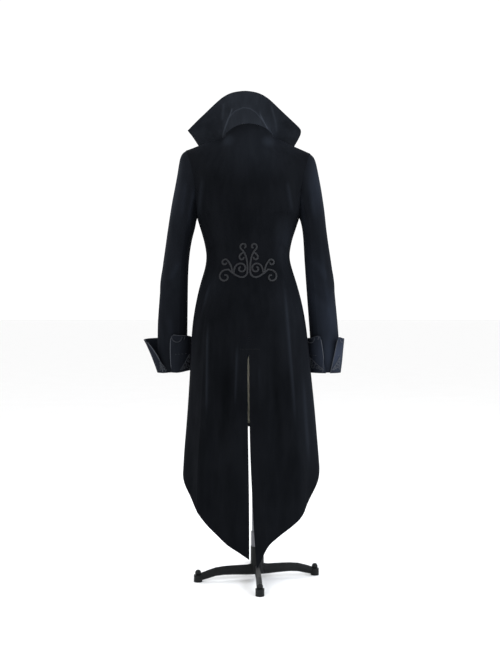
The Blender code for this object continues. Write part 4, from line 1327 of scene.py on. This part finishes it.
@dataclass
class Coat:
    """The body of the coat: backs, side bodies, fronts and sleeves."""

    vent_high: float = 0.7284
    vent_low: float = 0.6780
    vent_fade: float = 0.004
    vent_shifts: Pair = (0.0031, -0.0008)
    vent_reach: Pair = (0.004, 0.024)
    bar_start: float = -0.0250
    bar_step: float = 0.062 / 14
    bar_z: float = 0.6950
    bar_count: int = 13
    stitch: float = 0.0028
    stitch_step: float = 0.0009
    thread: float = 0.0006
    pieces: list[bpy.types.Object] = field(default_factory=list)

    def build(self) -> None:
        """Make each piece of the body and the sleeves."""
        body = Velvet("body_velvet", PileLight.BODY).build()
        sleeve = Velvet("sleeve_velvet", PileLight.SLEEVE, fold_light_share=0.25).build()
        for side in SIDES:
            for cut in BODY_CUTS:
                self.pieces.append(ClothPiece(cut, side, BODY_HANGS[side], body).build())
            for cut in SLEEVE_CUTS:
                self.pieces.append(ClothPiece(cut, side, SLEEVE_HANGS[side], sleeve).build())
        self.close_vent()

    def close_vent(self) -> None:
        """Keep the centre seam closed down to the top of the vent, and bar it with stitches."""
        for piece, shift in zip(self.named("back"), self.vent_shifts):
            points = points_of(piece)
            x, z = points[:, 0], points[:, 2]
            share = np.clip((self.vent_high - z) / (self.vent_high - self.vent_low), 0, 1)
            above = smooth(self.vent_low - self.vent_fade, self.vent_low, z)
            near = 1.0 - smooth(*self.vent_reach, np.abs(x - CENTRE_X))
            points[:, 0] += shift * share * above * near
            set_points(piece, points)
        ground = Ground(self.named("back"), Facing.BACK)
        threads = []
        for number in range(self.bar_count):
            start = CENTRE_X + self.bar_start + self.bar_step * number
            flat = np.array([(start, self.bar_z), (start + self.stitch, self.bar_z)])
            points, normals = ground.lay(even(flat, self.stitch_step))
            threads.append(points + normals * self.thread / 2.0)
        item = cords("vent_stitches", threads, self.thread)
        thread = Corded("tack_thread", (0.0028, 0.0032, 0.0040), (0.0062, 0.0070, 0.0086))
        dress(item, thread.build())

    def named(self, start: str) -> list[bpy.types.Object]:
        """Pick the pieces whose names start with a word."""
        return [piece for piece in self.pieces if piece.name.startswith(start)]


# Each crease of the collar: its line from the centre seam and the floor, its width and its rise
COLLAR_CREASES = (
    (
        (
            (-0.0788, 1.3262),
            (-0.0700, 1.3496),
            (-0.0600, 1.3700),
            (-0.0400, 1.3880),
            (-0.0173, 1.3965),
            (0.0032, 1.3940),
            (0.0208, 1.3830),
            (0.0384, 1.3640),
            (0.0530, 1.3438),
            (0.0677, 1.3145),
        ),
        0.0021,
        0.0012,
    ),
    (((-0.0880, 1.3080), (-0.0650, 1.3550), (-0.0520, 1.3860), (-0.0478, 1.3970)), 0.0022, 0.0017),
    (((-0.0790, 1.3640), (-0.0730, 1.4120)), 0.0050, 0.0009),
    (((0.0290, 1.3860), (0.0545, 1.3390), (0.0610, 1.3190)), 0.0020, 0.0017),
    (((0.0630, 1.4110), (0.0800, 1.3600), (0.0830, 1.3380)), 0.0045, 0.0010),
    (((-0.0740, 1.3150), (-0.0480, 1.3330), (-0.0230, 1.3470), (0.0120, 1.3450)), 0.0024, 0.0012),
    (((0.0120, 1.3450), (0.0370, 1.3290), (0.0630, 1.3060)), 0.0024, 0.0012),
)


def line_distance(flat: np.ndarray, line: tuple[Pair, ...]) -> tuple[np.ndarray, np.ndarray]:
    """Measure how near each point is to a line of straight spans.

    Args:
        flat: The points, two numbers each.
        line: The line's points.

    Returns:
        The distance of each point, and how far along the line it lies, from 0 to 1.
    """
    nearest = np.full(len(flat), 1.0e9)
    along = np.zeros(len(flat))
    for number, (start, end) in enumerate(zip(line, line[1:])):
        first = np.array(start)
        run = np.array(end) - first
        share = np.clip((flat - first) @ run / (run @ run), 0.0, 1.0)
        distance = np.linalg.norm(flat - first - share[:, None] * run, axis=1)
        nearer = distance < nearest
        nearest = np.where(nearer, distance, nearest)
        along = np.where(nearer, (number + share) / (len(line) - 1), along)
    return nearest, along


@dataclass
class Collar:
    """The high wing collar with the creases round its roll."""

    flat: Pair = (0.600, 0.160)
    area: float = 0.067
    levels: int = 4
    kept_share: float = 0.72
    tallest: float = 0.0016
    uneven: float = 0.0009
    waves: float = 22.0
    seed: float = 8.4
    outward: Triple = (0.0, -0.94, 0.34)
    behind: Pair = (0.020, 0.050)
    rise: Pair = (-0.05, 0.15)
    fall: Pair = (0.85, 1.05)

    def build(self) -> None:
        item = copy_node("collar", "collar_velvet")
        crease_rims(item, STIFF_ANGLE)
        subdivide(item, self.levels)
        self.crease(item)
        thin(item, self.kept_share)
        finish(item, Velvet("collar_velvet", PileLight.COLLAR).build(), "collar")

    def crease(self, item: bpy.types.Object) -> None:
        """Raise the creases that run beside the neck and the waviness of the wings.

        Args:
            item: The collar.
        """
        points = points_of(item)
        lift = np.zeros(len(points))
        flat = points[:, [0, 2]] - SEAM
        behind = 1.0 - smooth(*self.behind, points[:, 1])
        for line, width, height in COLLAR_CREASES:
            distance, along = line_distance(flat, line)
            ends = smooth(*self.rise, along) * (1.0 - smooth(*self.fall, along))
            lift += height * np.exp(-((distance / width) ** 2)) * ends * behind
        mark_fold_light(item, lift / self.tallest)
        lift += self.uneven * ripple(points, self.waves, self.seed)
        points += lift[:, None] * np.array(self.outward)
        set_points(item, points)


@dataclass(frozen=True)
class Loop:
    """A half loop of braid that hangs from the cuff's top edge."""

    middle: Pair
    width: float
    depth: float


@dataclass(frozen=True)
class Stitches:
    """A row of stitches from one point to another."""

    start: Pair
    end: Pair
    count: int


@dataclass(frozen=True)
class Corner:
    """A three-sided patch of small scrolls with its square corner at the foot."""

    foot: Pair
    width: float
    height: float


@dataclass(frozen=True)
class CuffTrim:
    """Where the fine braid of one cuff lies, from the centre seam and the floor."""

    loops: tuple[Loop, ...]
    bars: tuple[Pair, ...]
    stitches: tuple[Stitches, ...]
    corners: tuple[Corner, ...]


CUFF_TRIMS = {
    "left": CuffTrim(
        (Loop((-0.2157, 0.7285), 0.0150, 0.0165),),
        ((-0.1941, 0.7225),),
        (Stitches((-0.2241, 0.6745), (-0.1857, 0.6766), 4),),
        (Corner((-0.1800, 0.6270), -0.027, 0.047), Corner((-0.2690, 0.6250), 0.024, 0.030)),
    ),
    "right": CuffTrim(
        (Loop((0.1869, 0.7231), 0.0099, 0.0140), Loop((0.2790, 0.7190), 0.0050, 0.0080)),
        ((0.2083, 0.7235),),
        (
            Stitches((0.1815, 0.6715), (0.2040, 0.6715), 4),
            Stitches((0.2650, 0.6715), (0.2770, 0.6715), 2),
        ),
        (Corner((0.1830, 0.6270), 0.043, 0.039), Corner((0.2760, 0.6270), -0.026, 0.041)),
    ),
}
CUFF_PULLS = {
    "left": (
        Pull((-0.172, 0.055, 0.670), (0.0105, 0.0, 0.0), (0.020, 0.040, 0.120)),
        Pull((-0.2136, -0.0144, 0.7215), (-0.0080, 0.0, 0.0115), (0.022, 0.030, 0.045)),
        Pull((-0.180, 0.015, 0.7215), (0.0, 0.0, 0.0080), (0.025, 0.040, 0.050)),
        Pull((-0.227, 0.0092, 0.6175), (0.0065, 0.0, 0.0020), (0.012, 0.020, 0.030)),
        Pull((-0.298, 0.0132, 0.7215), (0.0, 0.0, -0.0050), (0.050, 0.060, 0.030)),
        CUFF_LIFT,
    ),
    "right": (
        Pull((0.195, 0.058, 0.670), (-0.0080, 0.0, 0.0), (0.020, 0.035, 0.120)),
        Pull((0.2209, -0.0094, 0.7215), (0.0050, 0.0, 0.0100), (0.018, 0.030, 0.045)),
        Pull((0.244, 0.0055, 0.630), (-0.0050, 0.0, 0.0), (0.012, 0.020, 0.035)),
        Pull((0.2797, -0.0047, 0.7215), (-0.0005, 0.0, 0.0070), (0.012, 0.020, 0.030)),
        Pull((0.306, 0.035, 0.7215), (-0.0060, 0.0, -0.0010), (0.015, 0.030, 0.050)),
    ),
}


@dataclass
class Cuff:
    """One turned-back cuff with its piped edge and its fine braid."""

    side: str
    braid: bpy.types.Material
    flat: Pair = (0.320, 0.110)
    area: float = 0.0325
    levels: int = 2
    thickness: float = 0.0028
    piping: float = 0.0016
    low_z: float = 0.6175
    foot: float = 0.002
    free_rise: float = 0.08
    free_length: float = 0.0021
    bar: Pair = (0.0012, 0.0050)
    plait: Plait = Plait(0.0031, 0.00058, 0.0046)
    thread: float = 0.0008
    stitch_share: Pair = (0.30, 0.70)
    stitch_step: float = 0.0008
    braid_steps: float = 8.0

    def build(self) -> None:
        """Make the cuff, its piping and its braid."""
        node = f"cuff_{self.side}"
        item = copy_node(node, f"{node}_velvet")
        draw(item, CUFF_PULLS[self.side])
        rim = rim_line(item, self.thickness)
        subdivide(item, 1, Split.FLAT)
        crease_rims(item)
        self.free_corners(item)
        subdivide(item, self.levels)
        finish(item, Velvet(f"{node}_velvet", PileLight.CUFF).build(), node)
        self.pipe(rim)
        ground = Ground([item], Facing.BACK)
        self.trim(ground)
        self.stitch(ground)

    def free_corners(self, item: bpy.types.Object) -> None:
        """Let the two top corners of the cuff round themselves.

        Args:
            item: The cuff.
        """
        with edited(item) as shape:
            layer = shape.edges.layers.float.get("crease_edge")
            for edge in shape.edges:
                high = min(vertex.co.z for vertex in edge.verts) > self.low_z + self.free_rise
                if high and edge.calc_length() < self.free_length:
                    edge[layer] = 0.0

    def pipe(self, rim: np.ndarray) -> None:
        """Run the piping up one side of the split, round the top and down the other side.

        Args:
            rim: The middle line of the rim, closed.
        """
        foot = self.low_z + self.foot
        turned = np.roll(rim, -int(np.argmax(rim[:, 2] < foot)), axis=0)
        kept = turned[turned[:, 2] > foot]
        ends = turned[turned[:, 2] <= foot]
        near = [ends[np.argmin(np.linalg.norm(ends - kept[i], axis=1))] for i in (0, -1)]
        line = np.concatenate([near[:1], kept, near[1:]])
        item = cords(f"cuff_{self.side}_piping", [rounded(line, 2)], self.piping)
        piping = Corded("cuff_piping", (0.026, 0.029, 0.036), (0.058, 0.064, 0.078))
        dress(item, piping.build())

    def trim(self, ground: Ground) -> None:
        """Lay the loops, the bars and the corner scrolls on the cuff.

        Args:
            ground: The cuff's faces.
        """
        plan = CUFF_TRIMS[self.side]
        flats = [self.loop(loop) for loop in plan.loops]
        for place in plan.bars:
            flats.append(np.array(place) + np.outer((-1.0, 1.0), self.bar))
        for corner in plan.corners:
            flats += self.scrolls(corner)
        lines = []
        for flat in flats:
            placed = even(flat + SEAM, self.plait.period / self.braid_steps)
            lines += self.plait.lines(*ground.lay(placed))
        item = cords(f"cuff_{self.side}_braid", lines, self.plait.cord)
        dress(item, self.braid)

    def stitch(self, ground: Ground) -> None:
        """Sew the rows of stitches on the cuff.

        Args:
            ground: The cuff's faces.
        """
        threads = []
        for row in CUFF_TRIMS[self.side].stitches:
            start, end = (np.array(place) + SEAM for place in (row.start, row.end))
            for number in range(row.count):
                shares = [(number + share) / row.count for share in self.stitch_share]
                flat = np.stack([start + (end - start) * share for share in shares])
                points, normals = ground.lay(even(flat, self.stitch_step))
                threads.append(points + normals * self.thread * 0.6)
        item = cords(f"cuff_{self.side}_stitches", threads, self.thread)
        dress(item, self.braid)

    @staticmethod
    def loop(loop: Loop) -> np.ndarray:
        """Work out the line of a half loop.

        Args:
            loop: The half loop.

        Returns:
            Rows of x and z.
        """
        turns = np.radians(np.linspace(180.0, 360.0, 40))
        x = loop.middle[0] + loop.width * np.cos(turns)
        return np.stack([x, loop.middle[1] + loop.depth * np.sin(turns)], axis=1)

    @staticmethod
    def scrolls(corner: Corner) -> list[np.ndarray]:
        """Work out the small scrolls that fill a lower corner.

        Args:
            corner: Its place and size; a negative width runs to the left.

        Returns:
            One line for each scroll.
        """
        curls = (
            Curl((0.24, 0.24), (0.19, 0.05), (200.0, -300.0), 0.8),
            Curl((0.56, 0.16), (0.13, 0.04), (-20.0, 420.0), 0.8),
            Curl((0.16, 0.56), (0.13, 0.04), (250.0, -200.0), 0.8),
            Curl((0.10, 0.80), (0.08, 0.03), (270.0, -90.0), 0.8),
            Curl((0.80, 0.09), (0.09, 0.03), (180.0, 500.0), 0.8),
            Curl((0.40, 0.44), (0.09, 0.03), (90.0, -200.0), 0.8),
            Curl((0.06, 0.06), (0.06, 0.02), (0.0, 330.0), 0.8),
        )
        edge = np.array([(1.0, 0.0), (0.62, 0.34), (0.34, 0.64), (0.02, 1.0)])
        size = np.array([corner.width, corner.height])
        lines = [curl.line(count=36) for curl in curls] + [rounded(edge, 3)]
        return [line * size + np.array(corner.foot) for line in lines]


# The stand


@dataclass
class Stand:
    """Dress form with its cap and plate, pole, ferrule and cast base."""

    form_levels: int = 2
    rim_hold: float = 0.8

    def build(self) -> None:
        """Make the form smooth and give the rest its finishes."""
        item = copy_node("dress_form", "dress_form_cover")
        crease_rims(item, STIFF_ANGLE, self.rim_hold)
        subdivide(item, self.form_levels)
        finish(item, Jersey("form_jersey").build(), "dress_form")
        trim = Moulded("black_lacquer", (0.010, 0.010, 0.011), (0.018, 0.018, 0.019)).build()
        steel = Metal(
            "brushed_steel",
            (0.15, 0.15, 0.16),
            (0.10, 0.10, 0.11),
            roughness=0.26,
            metallic=1.0,
            specular=0.5,
            grain=(1.0, 1.0, 0.05),
        ).build()
        iron = Metal(
            "cast_iron",
            (0.0040, 0.0046, 0.0050),
            (0.0090, 0.0100, 0.0108),
            roughness=0.36,
            metallic=0.0,
            specular=0.12,
            mark_scale=220.0,
            relief=0.0006,
        ).build()
        finishes = {
            "neck_cap": trim,
            "form_base": trim,
            "pole": steel,
            "ferrule": steel,
            "stand_base": iron,
        }
        for node, material in finishes.items():
            paint(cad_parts[node], material)


@dataclass(frozen=True)
class Stem:
    """A stem that bends into the start of a curl."""

    start: Pair
    control: Pair

    def line(self, end: np.ndarray, count: int = 24) -> np.ndarray:
        """Work out its points.

        Args:
            end: Where the curl starts.
            count: Number of spans.

        Returns:
            Rows of x and z, without the last.
        """
        share = np.linspace(0.0, 1.0, count + 1)[:-1, None]
        first = np.array(self.start) * (1.0 - share) ** 2
        middle = 2.0 * np.array(self.control) * share * (1.0 - share)
        return first + middle + end * share**2


@dataclass
class ScrollBraid:
    """The scroll of plaited braid at the back waist, in two mirrored halves."""

    middle_z: float = 0.9296
    spreads: Pair = (-1.01, 0.955)
    braid_steps: float = 11.0
    plait: Plait = Plait(0.0056, 0.00098, 0.0078)
    crown: Curl = Curl((0.0148, 0.0616), (0.0100, 0.0042), (-50.0, 250.0), 1.2)
    bowl: Curl = Curl((0.0208, -0.0111), (0.0168, 0.0168), (180.0, 290.0), 1.0)
    lower: Curl = Curl((0.0680, -0.0266), (0.0240, 0.0045), (115.0, -290.0), 0.6)
    volute: Curl = Curl((0.0215, -0.0026), (0.0245, 0.0052), (-28.0, 430.0), 0.5)
    leaf: Curl = Curl((0.0680, 0.0159), (0.0095, 0.0045), (115.0, -170.0), 1.0)
    bud: Curl = Curl((0.0190, 0.0304), (0.0090, 0.0042), (50.0, -190.0), 1.0)
    crown_stem: Stem = Stem((0.0040, -0.0111), (0.0026, 0.0384))
    lower_stem: Stem = Stem((0.0265, -0.0269), (0.0405, -0.0215))
    leaf_stem: Stem = Stem((0.0470, -0.0146), (0.0490, 0.0110))
    bud_stem: Stem = Stem((0.0131, 0.0440), (0.0200, 0.0440))

    def strands(self) -> list[np.ndarray]:
        """Work out the strands of one half.

        Returns:
            One line of x and z for each strand.
        """
        led = []
        pairs = (
            (self.crown_stem, self.crown),
            (self.lower_stem, self.lower),
            (self.leaf_stem, self.leaf),
            (self.bud_stem, self.bud),
        )
        for stem, curl in pairs:
            line = curl.line()
            led.append(np.concatenate([stem.line(line[0]), line]))
        main_strand = np.concatenate([led[0][::-1], self.bowl.line()[1:-1], led[1]])
        return [main_strand, self.volute.line(), led[2], led[3]]

    def build(self, backs: list[bpy.types.Object], material: bpy.types.Material) -> None:
        """Plait each half on the back.

        Args:
            backs: The pieces that it lies on.
            material: The braid's material.
        """
        ground = Ground(backs, Facing.BACK)
        for side, spread in zip(SIDES, self.spreads):
            lines = []
            for strand in self.strands():
                flat = even(rounded(strand, 1), self.plait.period / self.braid_steps)
                x = CENTRE_X + spread * flat[:, 0]
                placed = np.stack([x, self.middle_z + flat[:, 1]], axis=1)
                lines += self.plait.lines(*ground.lay(placed))
            item = cords(f"scroll_{side}_braid", lines, self.plait.cord)
            dress(item, material)
            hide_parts(f"scroll_{side}")


@dataclass
class Buttons:
    """The buttons of the front, each with the cord loop that holds it."""

    count: int = 5
    cord: float = 0.0011
    edge: float = -0.0040
    radius: float = 0.0108
    turn: float = 150.0
    spans: int = 39
    mouth: float = 0.0035
    step: float = 0.0012

    def build(self, fronts: list[bpy.types.Object], material: bpy.types.Material) -> None:
        """Finish the buttons and lay a loop round each.

        Args:
            fronts: The pieces that the loops lie on.
            material: The material of the loops.
        """
        satin = Moulded("button_satin", (0.012, 0.012, 0.014), (0.022, 0.022, 0.024)).build()
        ground = Ground(fronts, Facing.FRONT)
        turns = np.radians(np.linspace(-self.turn, self.turn, self.spans + 1))
        ring = self.radius * np.stack([np.cos(turns), np.sin(turns)], axis=1)
        lines = []
        for number in range(1, self.count + 1):
            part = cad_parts[f"button_{number}"]
            paint(part, satin)
            corners = sum((Vector(corner) for corner in part.bound_box), Vector())
            middle = part.matrix_world @ (corners / 8)
            ends = [(CENTRE_X + self.edge, middle.z + rise) for rise in (-self.mouth, self.mouth)]
            flat = np.concatenate([ends[:1], ring + np.array([middle.x, middle.z]), ends[1:]])
            points, normals = ground.lay(even(rounded(flat, 1), self.step))
            lines.append(points + normals * self.cord)
        item = cords("button_loops", lines, self.cord)
        dress(item, material)


# Studio


@dataclass
class Studio:
    """Pale floor, soft light and the camera."""

    lens: float = 50.0
    sensor: float = 36.0
    camera_place: Triple = (0.0155, -2.8, 0.79)
    pitch: float = 1.228
    aim: Triple = (0.0, 0.0, 0.8)
    sky: float = 1.05
    floor_size: float = 400.0
    floor_z: float = -0.0005

    def build(self) -> None:
        """Make the floor, the lights and the camera."""
        self.floor()
        self.light("key_light", (-1.8, -3.0, 2.4), 2.2, 60.0, (1.0, 1.0, 1.0))
        self.light("side_light", (2.6, -0.6, 1.8), 1.6, 70.0, (0.86, 0.92, 1.0))
        self.light("rear_light", (-2.2, 1.6, 2.2), 1.6, 40.0, (0.90, 0.94, 1.0))
        world = bpy.data.worlds.new("studio")
        bpy.context.scene.world = world
        world.use_nodes = True
        back = world.node_tree.nodes["Background"]
        back.inputs["Color"].default_value = (1.0, 1.0, 1.0, 1.0)
        back.inputs["Strength"].default_value = self.sky
        camera = bpy.data.cameras.new("camera")
        camera.lens = self.lens
        camera.sensor_width = self.sensor
        holder = bpy.data.objects.new("camera", camera)
        bpy.context.scene.collection.objects.link(holder)
        holder.location = self.camera_place
        holder.rotation_euler = (math.radians(90.0 - self.pitch), 0.0, 0.0)
        bpy.context.scene.camera = holder
        bpy.context.scene.view_settings.view_transform = "Standard"

    def floor(self) -> None:
        """Make the pale floor."""
        deselect()
        place = (0.0, 0.0, self.floor_z)
        bpy.ops.mesh.primitive_plane_add(size=self.floor_size, location=place)
        plane = bpy.context.object
        plane.name = "floor"
        shader = Shader("pale_floor")
        clouds = shader.noise(3.0, 2.0)
        shader.feed("Base Color", shader.blend(clouds, (0.90, 0.90, 0.90), (0.93, 0.93, 0.93)))
        shader.constants(Roughness=0.9, Specular_IOR_Level=0.1)
        plane.data.materials.append(shader.material)

    def light(self, name: str, place: Triple, size: float, power: float, colour: Triple) -> None:
        """Add a soft square light that looks at the coat.

        Args:
            name: Name of the light.
            place: Where it stands.
            size: Its side.
            power: Its power in watts.
            colour: Its colour.
        """
        data = bpy.data.lights.new(name, "AREA")
        data.size = size
        data.energy = power
        data.color = colour
        item = bpy.data.objects.new(name, data)
        bpy.context.scene.collection.objects.link(item)
        item.location = place
        aim = Vector(self.aim) - Vector(place)
        item.rotation_euler = aim.to_track_quat("-Z", "Y").to_euler()


def main() -> None:
    """Build the dressed part in order."""
    logging.basicConfig(level=logging.INFO, format="%(message)s")
    braid = Corded("black_braid", (0.0110, 0.0116, 0.0134), (0.029, 0.0305, 0.035)).build()
    fine = Corded("fine_braid", (0.014, 0.016, 0.020), (0.040, 0.045, 0.055)).build()
    # The right cuff's braid is a lighter copy of the fine braid, a painted highlight where the
    # light falls from the right
    fine_lit = Corded("fine_braid_lit", (0.024, 0.027, 0.034), (0.066, 0.074, 0.092)).build()
    coat = Coat()
    coat.build()
    Collar().build()
    for side, lace in zip(SIDES, (fine, fine_lit)):
        Cuff(side, lace).build()
    ScrollBraid().build(coat.named("back"), braid)
    Buttons().build(coat.named("front"), braid)
    Stand().build()
    Studio().build()


if __name__ == "__main__":
    main()
